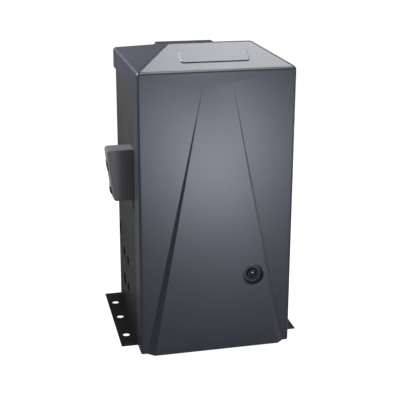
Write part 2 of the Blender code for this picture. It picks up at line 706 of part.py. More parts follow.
def v_belt(material):
    """A wedge section carried round both pulleys on their outer tangents."""
    lean = acos((WORM_PULLEY_RADIUS - MOTOR_PULLEY_RADIUS) / (MOTOR_Z - WORM_Z))
    worm_steps, motor_steps = 16, 12
    route = []
    for step in range(worm_steps + 1):
        route.append((WORM_Z, WORM_PULLEY_RADIUS, pi / 2 + lean + (tau - 2 * lean) * step / worm_steps))
    for step in range(motor_steps + 1):
        route.append((MOTOR_Z, MOTOR_PULLEY_RADIUS, pi / 2 - lean + 2 * lean * step / motor_steps))
    section = [(0.003, -0.0065), (0.003, 0.0065), (-0.005, 0.0042), (-0.005, -0.0042)]
    shape = bmesh.new()
    rings = []
    for centre_z, radius, angle in route:
        ring = []
        for rise, across in section:
            reach = radius + rise
            y, z = reach * cos(angle), centre_z + reach * sin(angle)
            ring.append(shape.verts.new((PULLEY_X + across, y, z)))
        rings.append(ring)
    for ring, other in zip(rings, rings[1:] + rings[:1]):
        for index in range(4):
            after = (index + 1) % 4
            shape.faces.new((ring[index], ring[after], other[after], other[index]))
    piece("v_belt", material, closed(shape))


def sprocket(name, material, centre, teeth, bore, hub_radius, hub_ends):
    pitch_radius = CHAIN_PITCH / (2 * sin(pi / teeth))
    root, tip = pitch_radius - 0.0040, pitch_radius + 0.0035
    half_width, root_half, tip_half = 0.0035, 0.0046, 0.0011
    outline = tooth_outline(centre, teeth, root, tip, root_half, tip_half, pi / 2)
    disc = prism(outline, "Y", CHAIN_Y - half_width, CHAIN_Y + half_width)
    hub = rod("Y", centre, hub_radius, *hub_ends, 22)
    hole = rod("Y", centre, bore, hub_ends[0] - PAST, hub_ends[1] + PAST, 22)
    piece(name, material, disc, ("add", hub), ("cut", hole), pivot=(centre[0], CHAIN_Y, centre[1]))


def idler_supports(steel, bolt_steel):
    low = STEEL + GAP
    front, back, top, foot_end = IDLER_PLATE_Y, IDLER_PLATE_Y + STEEL, IDLER_PLATE_TOP, 0.130
    outline = [(front, low), (foot_end, low), (foot_end, low + STEEL), (back, low + STEEL)]
    outline += [(back, top), (front, top)]
    hole_radius = IDLER_AXLE_RADIUS + GAP
    axle_holes = [
        rod("Y", (x, IDLER_Z), hole_radius, front - PAST, back + PAST, 16) for x in (-IDLER_X, IDLER_X)
    ]
    relief = box((-0.065, front - PAST, 0.060), (0.065, back + PAST, top + PAST))
    piece(
        "idler_bracket", steel, prism(outline, "X", -IDLER_PLATE_HALF, IDLER_PLATE_HALF),
        ("cut", merged(axle_holes)), ("cut", relief),
    )
    head_radius, head_front, head_back, axle_end = 0.0100, 0.0580, 0.0632, 0.1010
    nut_low = back + GAP
    for name, x in (("left_idler_axle", -IDLER_X), ("right_idler_axle", IDLER_X)):
        profile = [(0.0, head_front), (head_radius, head_front), (head_radius, head_back)]
        profile += [(IDLER_AXLE_RADIUS, head_back), (IDLER_AXLE_RADIUS, axle_end), (0.0, axle_end)]
        nut = rod("Y", (x, IDLER_Z), head_radius, nut_low, nut_low + 0.006, 6)
        piece(name, bolt_steel, turned(profile, "Y", (x, IDLER_Z), 16), ("add", nut))


# ---------------------------------------------------------------- motor


def motor(paint, steel, copper, black):
    centre = (0.0, MOTOR_Z)
    piece("motor_shell", paint, tube("X", centre, MOTOR_RADIUS, MOTOR_BORE, *MOTOR_ENDS, 32))
    shaft_hole, inside = MOTOR_SHAFT_RADIUS + GAP, 0.0740
    bell = [(MOTOR_RADIUS, 0.0), (MOTOR_RADIUS, 0.010), (0.0700, 0.021), (0.0350, 0.026), (shaft_hole, 0.026)]
    bell += [(shaft_hole, 0.014), (0.0600, 0.010), (inside, 0.0)]
    rear_seat, front_seat = MOTOR_ENDS[0] - GAP, MOTOR_ENDS[1] + GAP
    piece("motor_front_bell", paint, turned([(r, front_seat + x) for r, x in bell], "X", centre, 28))
    piece("motor_rear_bell", paint, turned([(r, rear_seat - x) for r, x in bell], "X", centre, 28))

    left, right = STATOR_ENDS
    overhang, coil_bore, stack_bore, stack = 0.017, 0.0500, 0.0455, 0.0780
    coil = [(coil_bore, left - overhang), (inside, left - overhang), (inside, left), (stack, left)]
    coil += [(stack, right), (inside, right), (inside, right + overhang), (coil_bore, right + overhang)]
    coil += [(coil_bore, right), (stack_bore, right), (stack_bore, left), (coil_bore, left)]
    piece("motor_stator", copper, turned(coil, "X", centre, 24))

    tail, nose = -0.1200, 0.150
    core = [(0.0, tail), (MOTOR_SHAFT_RADIUS, tail), (MOTOR_SHAFT_RADIUS, left), (ROTOR_RADIUS, left)]
    core += [(ROTOR_RADIUS, right), (MOTOR_SHAFT_RADIUS, right), (MOTOR_SHAFT_RADIUS, nose), (0.0, nose)]
    piece("motor_rotor", steel, turned(core, "X", centre, 28), pivot=(0.0, 0.0, MOTOR_Z))

    can_z = MOTOR_Z + MOTOR_RADIUS + CAPACITOR_RADIUS + 0.003
    can = rod("X", (0.0, can_z), CAPACITOR_RADIUS, -0.075, 0.025, 24, chamfer=0.002)
    piece("motor_capacitor", black, can)


def motor_base(material):
    low = SHELF_TOP + GAP
    plate = box((-0.085, -0.075, low), (0.055, 0.075, low + STEEL))
    bed = rod("X", (0.0, MOTOR_Z), MOTOR_RADIUS + 0.0005, -0.12, 0.12, 40)
    half_depth, foot = 0.058, low + 0.001
    saddles = [
        ("add", box((x, -half_depth, foot), (x + SADDLE_WIDTH, half_depth, SADDLE_TOP))) for x in SADDLE_XS
    ]
    piece("motor_base", material, plate, *saddles, ("cut", bed))


# ---------------------------------------------------------------- limit switch gear


def spur_gear_outline(centre, phase):
    root, tip, root_half, tip_half = 0.0272, 0.0321, 0.0023, 0.0008
    return tooth_outline(centre, LIMIT_GEAR_TEETH, root, tip, root_half, tip_half, phase)


def limit_drive_gear(material):
    centre = (0.0, OUTPUT_Z)
    disc = prism(spur_gear_outline(centre, pi), "Y", *LIMIT_GEAR_Y)
    hub = rod("Y", centre, 0.019, -0.090, -0.072, 20)
    bore = rod("Y", centre, SHAFT_RADIUS + GAP, -0.11, -0.06, 24)
    piece("limit_drive_gear", material, disc, ("add", hub), ("cut", bore), pivot=(0.0, 0.0, OUTPUT_Z))


def limit_screw(material):
    centre = (LIMIT_X, OUTPUT_Z)
    gear = prism(spur_gear_outline(centre, pi / LIMIT_GEAR_TEETH), "Y", *LIMIT_GEAR_Y)
    rod_shape = rod("Y", centre, LIMIT_SCREW_RADIUS, -0.193, -0.082, 16)
    piece("limit_screw", material, gear, ("add", rod_shape), pivot=(LIMIT_X, 0.0, OUTPUT_Z))


def limit_nut(name, material, middle):
    centre = (LIMIT_X, OUTPUT_Z)
    low, high = middle - LIMIT_NUT_HALF, middle + LIMIT_NUT_HALF
    ring = tube("Y", centre, LIMIT_NUT_RADIUS, LIMIT_SCREW_RADIUS + GAP, low, high, 24)
    notch_half = STRIP_HALF + 0.0005
    notch = box(
        (LIMIT_X - LIMIT_NUT_RADIUS - 0.003, low - PAST, OUTPUT_Z - notch_half),
        (LIMIT_X - STRIP_REACH + 0.0005, high + PAST, OUTPUT_Z + notch_half),
    )
    piece(name, material, ring, ("cut", notch), pivot=(LIMIT_X, middle, OUTPUT_Z))


def limit_bracket(material):
    """Two uprights hold the screw; a strip between them keeps the nuts from turning."""
    x_low, x_high = LIMIT_X - 0.028, LIMIT_X + 0.024
    front, rear = LIMIT_UPRIGHT_YS
    half, top, foot_end = STEEL / 2, LIMIT_UPRIGHT_TOP, rear + 0.030
    low = STEEL + GAP
    tray_low, tray_top = LIMIT_TRAY_Z
    outline = [(rear + half, low), (foot_end, low), (foot_end, low + STEEL), (rear + half, low + STEEL)]
    outline += [(rear + half, top), (rear - half, top), (rear - half, tray_top), (front + half, tray_top)]
    outline += [(front + half, top), (front - half, top), (front - half, tray_low), (rear - half, tray_low)]
    outline += [(rear - half, low)]
    strip = box(
        (x_low + 0.001, front, OUTPUT_Z - STRIP_HALF), (LIMIT_X - STRIP_REACH, rear, OUTPUT_Z + STRIP_HALF)
    )
    screw_holes = rod("Y", (LIMIT_X, OUTPUT_Z), LIMIT_SCREW_RADIUS + GAP, front - PAST, rear + PAST, 16)
    piece(
        "limit_bracket", material, prism(outline, "X", x_low, x_high), ("add", strip),
        ("cut", screw_holes),
    )


def limit_switch(name, material, side):
    """A sealed micro switch with two ears that hold the lever's knuckle."""
    middle = LIMIT_MIDDLE_Y + side * SWITCH_OFFSET
    pivot_y = LIMIT_MIDDLE_Y + side * LEVER_PIVOT_OFFSET
    half_width, half_long, ear_half = 0.005, 0.0140, 0.002
    body = box(
        (LIMIT_X - half_width, middle - half_long, LIMIT_TRAY_Z[1] + GAP),
        (LIMIT_X + half_width, middle + half_long, SWITCH_TOP),
    )
    ears = []
    for x in (LIMIT_X - half_width, LIMIT_X + half_width - LEVER_SHEET):
        ear_low = (x, pivot_y - ear_half, SWITCH_TOP - ear_half)
        ears.append(("add", box(ear_low, (x + LEVER_SHEET, pivot_y + ear_half, LEVER_PIVOT_Z + ear_half))))
    piece(name, material, body, *ears)


def limit_lever(name, material, side):
    """Side 1 is the rear switch, -1 the front one; the tip reaches up towards the nut."""
    pivot_y = LIMIT_MIDDLE_Y + side * LEVER_PIVOT_OFFSET
    tip_y = LIMIT_MIDDLE_Y + side * LEVER_TIP_OFFSET
    blade_half, half_width = 0.0006, 0.0030
    blade_low, blade_high = LEVER_PIVOT_Z - blade_half, LEVER_PIVOT_Z + blade_half
    inner_y = tip_y - side * LEVER_SHEET
    outline = [(pivot_y, blade_low), (tip_y, blade_low), (tip_y, LEVER_TOP), (inner_y, LEVER_TOP)]
    outline += [(inner_y, blade_high), (pivot_y, blade_high)]
    ends = (LIMIT_X - half_width, LIMIT_X + half_width)
    knuckle = rod("X", (pivot_y, LEVER_PIVOT_Z), LEVER_SHEET, *ends, 10)
    blade = prism(outline, "X", *ends)
    piece(name, material, blade, ("add", knuckle), pivot=(LIMIT_X, pivot_y, LEVER_PIVOT_Z))


# ---------------------------------------------------------------- electrics


def board_bracket(material):
    half, sheet, lip = INNER_HALF_WIDTH, 0.0020, BRACKET_LIP
    outline = [(-half, BRACKET_FRONT), (half, BRACKET_FRONT), (half, lip), (half - sheet, lip)]
    outline += [(half - sheet, BRACKET_FRONT + sheet), (-half + sheet, BRACKET_FRONT + sheet)]
    outline += [(-half + sheet, lip), (-half, lip)]
    (left, right), (low, high), inset = BOARD_X, BOARD_Z, STANDOFF_INSET
    spots = [(x, z) for x in (left + inset, right - inset) for z in (low + inset, high - inset)]
    foot = BRACKET_FRONT + 0.0008
    standoffs = [("add", rod("Y", spot, 0.0035, BOARD_BACK + GAP, foot, 6)) for spot in spots]
    piece("board_bracket", material, prism(outline, "Z", *BRACKET_Z), *standoffs)


def control_board(green, black, terminal_green):
    board = box((BOARD_X[0], BOARD_FRONT, BOARD_Z[0]), (BOARD_X[1], BOARD_BACK, BOARD_Z[1]))
    piece("control_board", green, board)
    seat = BOARD_FRONT - GAP
    relay_height, terminal_height = 0.025, 0.014
    piece("motor_relay", black, box((-0.130, seat - relay_height, 0.590), (-0.090, seat, 0.622)))
    terminals = box((-0.140, seat - terminal_height, 0.524), (0.050, seat, 0.536))
    piece("terminal_block", terminal_green, terminals)


def transformer(material):
    """Foot flange, core stack and the winding that shows through it."""
    seat = BRACKET_FRONT - GAP
    low, high, winding_inset = 0.560, 0.612, 0.008
    core = box((0.088, seat - 0.040, low), (0.148, seat - 0.010, high))
    winding = box((0.100, seat - 0.050, low + winding_inset), (0.136, seat - 0.002, high - winding_inset))
    coil = rounded(winding, 0.004, 2, lambda middle, run: abs(run.x) > 0.9)
    feet = box((0.080, seat - 0.011, low), (0.156, seat, high))
    piece("transformer", material, feet, ("add", core), ("add", coil))


def power_controls(steel, black, chrome):
    (left, right), (front, rear), (low, high) = POWER_BOX_X, POWER_BOX_Y, POWER_BOX_Z
    wall = POWER_BOX_WALL
    shell = box((left, front, low), (right, rear, high))
    ear = box((right - wall, -0.120, low + 0.015), (INNER_HALF_WIDTH, -0.117, high - 0.015))
    hollow = box((left + wall, front - PAST, low + wall), (right - wall, rear - wall, high - wall))
    piece("power_box", steel, shell, ("add", ear), ("cut", hollow))

    centre = (TOGGLE_X, TOGGLE_Z)
    lid_back, sleeve_radius = front - GAP, 0.0060
    lid = box((left, lid_back - wall, low), (right, lid_back, high))
    lid_hole = rod("Y", centre, sleeve_radius + GAP, lid_back - wall - PAST, lid_back + PAST, 16)
    piece("power_box_cover", steel, lid, ("cut", lid_hole))

    half_width, half_high, body_front, sleeve_front = 0.011, 0.014, front + 0.0005, -0.1590
    body = box(
        (TOGGLE_X - half_width, body_front, TOGGLE_Z - half_high),
        (TOGGLE_X + half_width, -0.1280, TOGGLE_Z + half_high),
    )
    sleeve = rod("Y", centre, sleeve_radius, sleeve_front, -0.145, 16)
    bore = rod("Y", centre, 0.0042, sleeve_front - PAST, -0.1510, 16)
    piece("power_switch", black, body, ("add", sleeve), ("cut", bore))
    bat = turned(
        [(0.0, 0.0025), (0.0018, 0.0018), (0.0022, 0.0), (0.0015, -0.0030), (0.0030, -0.0160),
         (0.0, -0.0185)], "Y", (0.0, 0.0), 12,
    )
    for vertex in bat.verts:
        _, y, z = vertex.co
        vertex.co.y = TOGGLE_PIVOT_Y + y * cos(TOGGLE_LEAN) - z * sin(TOGGLE_LEAN)
        vertex.co.z = TOGGLE_Z + y * sin(TOGGLE_LEAN) + z * cos(TOGGLE_LEAN)
        vertex.co.x += TOGGLE_X
    piece("power_toggle", chrome, bat, pivot=(TOGGLE_X, TOGGLE_PIVOT_Y, TOGGLE_Z))


# ---------------------------------------------------------------- side control station


def station_face_x(z):
    share = (z - STATION_Z[0]) / (STATION_Z[1] - STATION_Z[0])
    return -(STATION_OUT[0] + share * (STATION_OUT[1] - STATION_OUT[0]))


def station_hull(inset, back, softness):
    y_low, y_high = STATION_Y[0] + inset, STATION_Y[1] - inset
    z_low, z_high = STATION_Z[0] + inset, STATION_Z[1] - inset
    points = []
    for y in (y_low, y_high):
        points += [(back, y, z_low), (back, y, z_high)]
        points += [(station_face_x(z_low) + inset, y, z_low), (station_face_x(z_high) + inset, y, z_high)]
    return rounded(hull(points), softness, 2, lambda middle, run: middle.x < back - 0.002)


def station_turned(profile, z, segments):
    """Turn a profile about the slanted outer face's normal, level 0 on the face."""
    shape = turned(profile, "Z", (0.0, 0.0), segments)
    middle = Vector((station_face_x(z), sum(STATION_Y) / 2, z))
    turn = Vector((0.0, 0.0, 1.0)).rotation_difference(STATION_OUTWARD).to_matrix()
    for vertex in shape.verts:
        vertex.co = middle + turn @ vertex.co
    return shape


def station(plastic, black):
    back = -CABINET_HALF_WIDTH - GAP
    deep = 0.02
    windows = []
    for z, radius in ((BUTTON_Z, BUTTON_RADIUS + 0.0005), (SOUNDER_Z, SOUNDER_RADIUS + GAP)):
        windows.append(station_turned([(0.0, -deep), (radius, -deep), (radius, deep), (0.0, deep)], z, 20))
    piece(
        "station_housing", plastic, station_hull(0.0, back, 0.007),
        ("cut", station_hull(STATION_WALL, back + deep, 0.005)), ("cut", merged(windows)),
    )
    stem, stem_end, skirt, top = 0.0060, -0.0120, -0.0040, 0.0035
    cap = [(0.0, stem_end), (stem, stem_end), (stem, skirt), (BUTTON_RADIUS, skirt)]
    cap += [(BUTTON_RADIUS, top - 0.0013), (BUTTON_RADIUS - 0.001, top), (0.0, top)]
    pivot = Vector((station_face_x(BUTTON_Z), sum(STATION_Y) / 2, BUTTON_Z))
    piece("reset_button", black, station_turned(cap, BUTTON_Z, 20), pivot=tuple(pivot))
    chamfer, tail, rim, mouth_floor = 0.001, -0.0260, 0.0020, -0.0040
    horn = [(0.0, tail), (SOUNDER_RADIUS - chamfer, tail), (SOUNDER_RADIUS, tail + chamfer)]
    horn += [(SOUNDER_RADIUS, rim - 0.0014), (SOUNDER_RADIUS - 0.0015, rim), (0.0060, rim)]
    horn += [(0.0045, mouth_floor), (0.0, mouth_floor)]
    piece("alarm_sounder", black, station_turned(horn, SOUNDER_Z, 20))


# ---------------------------------------------------------------- whole machine


def build():
    clear_scene()
    moulded = finish("moulded_charcoal", (0.060, 0.066, 0.074), 0.55)
    powder = finish("powder_coat_dark", (0.035, 0.034, 0.036), 0.50, 0.3)
    zinc = finish("zinc_plate", (0.50, 0.50, 0.48), 0.35, 0.9)
    steel = finish("machined_steel", (0.42, 0.42, 0.43), 0.30, 1.0)
    chrome = finish("chrome", (0.70, 0.70, 0.72), 0.12, 1.0)
    black_steel = finish("black_oxide", (0.03, 0.03, 0.03), 0.40, 0.8)
    iron = finish("cast_iron_paint", (0.10, 0.13, 0.16), 0.45, 0.2)
    bronze = finish("bronze", (0.45, 0.28, 0.10), 0.35, 1.0)
    motor_paint = finish("motor_enamel", (0.05, 0.055, 0.06), 0.35, 0.2)
    copper = finish("copper_winding", (0.45, 0.16, 0.06), 0.40, 0.6)
    rubber = finish("black_rubber", (0.02, 0.02, 0.02), 0.70)
    nylon = finish("white_nylon", (0.70, 0.69, 0.64), 0.45)
    black_plastic = finish("black_plastic", (0.025, 0.025, 0.026), 0.40)
    board_green = finish("board_green", (0.01, 0.12, 0.04), 0.35)
    terminal_green = finish("terminal_green", (0.03, 0.25, 0.07), 0.45)

    side_panel("left_side_panel", -1, powder)
    side_panel("right_side_panel", 1, powder)
    rear_panel(powder)
    base_plate(powder)
    top_brace(powder)
    motor_shelf(powder)

    cover(moulded)
    cover_lock(black_steel)
    lock_catch(zinc)

    drive_base(zinc)
    gearbox_housing(iron)
    gearbox_cover(iron)
    gearbox_bearings(steel)
    output_shaft(steel)
    worm_wheel(bronze)
    worm_shaft(steel)
    pulley("worm_pulley", zinc, WORM_PULLEY_RADIUS, WORM_SHAFT_RADIUS + GAP, WORM_Z)
    pulley("motor_pulley", zinc, MOTOR_PULLEY_RADIUS, MOTOR_SHAFT_RADIUS + GAP, MOTOR_Z)
    v_belt(rubber)
    output, shaft_bore = (0.0, OUTPUT_Z), SHAFT_RADIUS + GAP
    sprocket("drive_sprocket", black_steel, output, SPROCKET_TEETH, shaft_bore, 0.024, (0.0590, 0.0740))
    for name, x in (("left_idler", -IDLER_X), ("right_idler", IDLER_X)):
        sprocket(name, steel, (x, IDLER_Z), IDLER_TEETH, IDLER_AXLE_RADIUS + GAP, 0.016, (0.0640, 0.0800))
    idler_supports(zinc, zinc)

    motor(motor_paint, steel, copper, black_plastic)
    motor_base(motor_paint)

    limit_drive_gear(steel)
    limit_screw(steel)
    limit_nut("open_limit_nut", nylon, LIMIT_MIDDLE_Y + LIMIT_NUT_OFFSET)
    limit_nut("close_limit_nut", nylon, LIMIT_MIDDLE_Y - LIMIT_NUT_OFFSET)
    limit_bracket(zinc)
    limit_switch("open_limit_switch", black_plastic, 1)
    limit_switch("close_limit_switch", black_plastic, -1)
    limit_lever("open_limit_lever", steel, 1)
    limit_lever("close_limit_lever", steel, -1)

    board_bracket(zinc)
    control_board(board_green, black_plastic, terminal_green)
    transformer(steel)
    power_controls(zinc, black_plastic, chrome)
    station(moulded, black_plastic)


build()
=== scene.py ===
"""Looks for the slide gate operator: materials, edge rounding, fine pieces, soft studio light."""

import json

from math import cos, pi, radians, sin, tau

import bmesh
import bpy
from mathutils import Matrix, Vector


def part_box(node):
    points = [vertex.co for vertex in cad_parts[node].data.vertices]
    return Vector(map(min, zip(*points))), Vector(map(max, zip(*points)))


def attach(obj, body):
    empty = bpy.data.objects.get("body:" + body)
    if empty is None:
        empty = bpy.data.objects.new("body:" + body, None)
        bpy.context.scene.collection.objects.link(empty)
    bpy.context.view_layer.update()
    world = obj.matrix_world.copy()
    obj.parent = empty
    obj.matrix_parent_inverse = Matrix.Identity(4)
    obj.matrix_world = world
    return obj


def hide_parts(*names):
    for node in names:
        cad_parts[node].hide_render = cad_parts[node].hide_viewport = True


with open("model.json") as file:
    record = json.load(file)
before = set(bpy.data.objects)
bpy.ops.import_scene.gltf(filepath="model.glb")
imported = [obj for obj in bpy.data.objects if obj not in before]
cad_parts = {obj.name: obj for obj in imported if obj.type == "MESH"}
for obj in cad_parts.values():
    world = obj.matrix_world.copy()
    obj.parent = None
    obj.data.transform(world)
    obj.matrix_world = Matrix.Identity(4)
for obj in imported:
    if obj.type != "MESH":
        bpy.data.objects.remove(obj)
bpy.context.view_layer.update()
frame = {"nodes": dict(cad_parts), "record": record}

ROUND_SIDES = 48
UP, FRONT, RIGHT, LEFT = (0, 0, 1), (0, -1, 0), (1, 0, 0), (-1, 0, 0)


# ---------------------------------------------------------------- mesh tools


def to_world(axis, first, second, level):
    """Outline coordinates are (y, z) along X, (x, z) along Y and (x, y) along Z."""
    if axis == "X":
        return Vector((level, first, second))
    if axis == "Y":
        return Vector((first, level, second))
    return Vector((first, second, level))


def closed(shape):
    """The shape with all its normals pointing out."""
    bmesh.ops.recalc_face_normals(shape, faces=shape.faces)
    return shape


def skin(rings, is_ring=False):
    """Join rings of points with quads; flat ends unless the rings close on themselves."""
    shape = bmesh.new()
    rows = [[shape.verts.new(point) for point in ring] for ring in rings]
    if not is_ring:
        shape.faces.new(rows[0])
        shape.faces.new(rows[-1])
    following = rows[1:] + (rows[:1] if is_ring else [])
    for row, other in zip(rows, following):
        for index in range(len(row)):
            after = (index + 1) % len(row)
            shape.faces.new((row[index], row[after], other[after], other[index]))
    return closed(shape)


def prism(outline, axis, low, high):
    """Draw an outline out along an axis."""
    return skin([[to_world(axis, a, b, level) for a, b in outline] for level in (low, high)])


def box(low, high):
    outline = [(low[0], low[1]), (high[0], low[1]), (high[0], high[1]), (low[0], high[1])]
    return prism(outline, "Z", low[2], high[2])


def turned(profile, axis, centre, sides=ROUND_SIDES):
    """Turn (radius, level) points about an axis; a first and last radius of 0 closes the ends."""
    solid = profile[0][0] == 0.0
    points = profile[1:-1] if solid else profile
    rings = []
    for radius, level in points:
        rings.append([
            to_world(axis, centre[0] + radius * cos(angle), centre[1] + radius * sin(angle), level)
            for angle in (tau * step / sides for step in range(sides))
        ])
    return skin(rings, is_ring=not solid)


def rod(axis, centre, radius, low, high, sides=ROUND_SIDES, chamfer=0.0):
    profile = [(0.0, low), (radius - chamfer, low)]
    if chamfer:
        profile += [(radius, low + chamfer), (radius, high - chamfer)]
    return turned(profile + [(radius - chamfer, high), (0.0, high)], axis, centre, sides)


def tube(axis, centre, outer, inner, low, high):
    return turned([(inner, low), (outer, low), (outer, high), (inner, high)], axis, centre)


def merged(shapes):
    total = bmesh.new()
    for shape in shapes:
        holder = bpy.data.meshes.new("holder")
        shape.to_mesh(holder)
        shape.free()
        total.from_mesh(holder)
        bpy.data.meshes.remove(holder)
    return total


def aimed(shape, origin, direction):
    """Carry a shape built about +Z at the origin to a place and direction."""
    turn = Vector(UP).rotation_difference(Vector(direction)).to_matrix().to_4x4()
    bmesh.ops.transform(shape, matrix=Matrix.Translation(origin) @ turn, verts=shape.verts)
    return shape


def middle_of(node):
    low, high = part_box(node)
    return (low + high) / 2


def corners(low, high, inset_x, inset_z):
    """The four (x, z) places inset from the corners of a box's front."""
    return [(x, z) for x in (low.x + inset_x, high.x - inset_x) for z in (low.z + inset_z, high.z - inset_z)]


def new_object(name, data):
    item = bpy.data.objects.new(name, data)
    bpy.context.scene.collection.objects.link(item)
    return item


def mesh_object(name, shape, material):
    mesh = bpy.data.meshes.new(name)
    shape.to_mesh(mesh)
    shape.free()
    mesh.materials.append(material)
    return new_object(name, mesh)


# ---------------------------------------------------------------- smooth edges

HARD_EDGE = radians(33)
WELD_DISTANCE = 0.000005
EDGE_SEGMENTS = 2
FACE_WEIGHT = 80


def smoothing_group():
    """Welds a mesh and marks the edges over a limit angle sharp, so the rest shades smooth."""
    group = bpy.data.node_groups.new("weld_and_smooth", "GeometryNodeTree")
    group.interface.new_socket("Geometry", in_out="INPUT", socket_type="NodeSocketGeometry")
    group.interface.new_socket("Geometry", in_out="OUTPUT", socket_type="NodeSocketGeometry")
    nodes, links = group.nodes, group.links
    source = nodes.new("NodeGroupInput")
    weld = nodes.new("GeometryNodeMergeByDistance")
    weld.inputs["Distance"].default_value = WELD_DISTANCE
    faces = nodes.new("GeometryNodeSetShadeSmooth")
    edges = nodes.new("GeometryNodeSetShadeSmooth")
    edges.domain = "EDGE"
    edges.inputs["Shade Smooth"].default_value = False
    angle = nodes.new("GeometryNodeInputMeshEdgeAngle")
    over = nodes.new("FunctionNodeCompare")
    over.data_type, over.operation = "FLOAT", "GREATER_THAN"
    over.inputs["B"].default_value = HARD_EDGE
    target = nodes.new("NodeGroupOutput")
    links.new(source.outputs["Geometry"], weld.inputs["Geometry"])
    links.new(weld.outputs["Geometry"], faces.inputs["Geometry"])
    links.new(faces.outputs["Geometry"], edges.inputs["Geometry"])
    links.new(angle.outputs["Unsigned Angle"], over.inputs["A"])
    links.new(over.outputs["Result"], edges.inputs["Selection"])
    links.new(edges.outputs["Geometry"], target.inputs["Geometry"])
    return group


SMOOTHING = smoothing_group()


def soften(item, width):
    """Weld, smooth by angle, round the hard edges by width, and weight the normals by face area."""
    smooth = item.modifiers.new("smooth", "NODES")
    smooth.node_group = SMOOTHING
    if width:
        bevel = item.modifiers.new("edges", "BEVEL")
        bevel.width = width
        bevel.segments = EDGE_SEGMENTS
        bevel.limit_method = "ANGLE"
        bevel.angle_limit = HARD_EDGE
        bevel.miter_outer = "MITER_ARC"
        bevel.use_clamp_overlap = True
    weights = item.modifiers.new("normals", "WEIGHTED_NORMAL")
    weights.keep_sharp = True
    weights.weight = FACE_WEIGHT


# ---------------------------------------------------------------- materials

CLOUD_SCALE, CLOUD_DETAIL = 14.0, 6.0
GRAIN_DETAIL = 3.0
TINT_START, TINT_END = 0.30, 0.70
LEAST_ROUGHNESS = 0.02

# Each look's colour and roughness, and what else node_material takes
LOOKS = {
    "moulded_cover": (
        (0.0212, 0.0222, 0.0315), 0.35, dict(grain=1300.0, mottle=0.06, shift=0.04, Specular_IOR_Level=0.50)
    ),
    "powder_coat": ((0.020, 0.0195, 0.0205), 0.44, dict(grain=420.0, bump=0.00005, Specular_IOR_Level=0.22)),
    "zinc_plate": ((0.56, 0.56, 0.55), 0.34, dict(metallic=0.9, grain=260.0, bump=0.00001, shift=0.10)),
    "machined_steel": (
        (0.50, 0.50, 0.51), 0.28, dict(metallic=1.0, grain=1100.0, bump=0.0000015, mottle=0.07)
    ),
    "chrome": ((0.78, 0.78, 0.80), 0.10, dict(metallic=1.0, grain=600.0, bump=0.000004, mottle=0.03)),
    "black_oxide": ((0.012, 0.012, 0.013), 0.16, dict(metallic=0.3, bump=0.00001, mottle=0.12)),
    "cast_iron": ((0.085, 0.115, 0.145), 0.48, dict(metallic=0.1, grain=330.0, bump=0.00022, mottle=0.14)),
    "bronze": ((0.55, 0.34, 0.12), 0.32, dict(metallic=1.0, grain=800.0, bump=0.00002)),
    "motor_enamel": (
        (0.045, 0.050, 0.056), 0.34,
        dict(metallic=0.1, grain=300.0, bump=0.00008, Coat_Weight=0.3, Coat_Roughness=0.15),
    ),
    "copper_winding": ((0.50, 0.19, 0.07), 0.30, dict(metallic=0.8, grain=1400.0, bump=0.0002)),
    "black_rubber": ((0.020, 0.020, 0.021), 0.72, dict(grain=1100.0, bump=0.00008)),
    "white_nylon": (
        (0.74, 0.72, 0.65), 0.42, dict(grain=700.0, bump=0.00002, mottle=0.03, Subsurface_Weight=0.1)
    ),
    "black_plastic": ((0.022, 0.022, 0.024), 0.38, dict(grain=1200.0, bump=0.00003)),
    "board_green": (
        (0.010, 0.110, 0.045), 0.28, dict(grain=500.0, bump=0.00002, mottle=0.18, Coat_Weight=0.4)
    ),
    "terminal_green": ((0.030, 0.27, 0.08), 0.42, dict(bump=0.00002)),
    "winding_tape": ((0.62, 0.42, 0.06), 0.40, dict(grain=500.0, bump=0.00005)),
    "lamination": ((0.30, 0.30, 0.31), 0.42, dict(metallic=0.9, grain=1600.0, bump=0.00015)),
    "switch_red": ((0.50, 0.020, 0.018), 0.30, dict(bump=0.00002)),
    # The station housing's grey is partly its own tone and partly painted light, lifted to make up for the
    # cover's shadow on it
    "station_grey_and_painted_light": (
        (0.105, 0.104, 0.110), 0.46, dict(grain=1300.0, mottle=0.06, Specular_IOR_Level=0.35)
    ),
    "resistor_tan": ((0.50, 0.38, 0.24), 0.45, {}),
    "lamp_amber": ((0.80, 0.30, 0.02), 0.20, dict(Coat_Weight=0.6)),
    "can_blue": ((0.02, 0.06, 0.22), 0.30, dict(Coat_Weight=0.4)),
}
# The grain's scale along X where it runs in threads or layers
DRAWN_OUT = {"copper_winding": 0.05, "lamination": 0.02}
# Nodes that don't take the look of their material slot. The station housing's moulded plastic is lighter
# than the cover's, partly its own grey and partly painted light standing in for the shade the cover casts on
# it
OWN_LOOKS = {"station_housing": "station_grey_and_painted_light"}


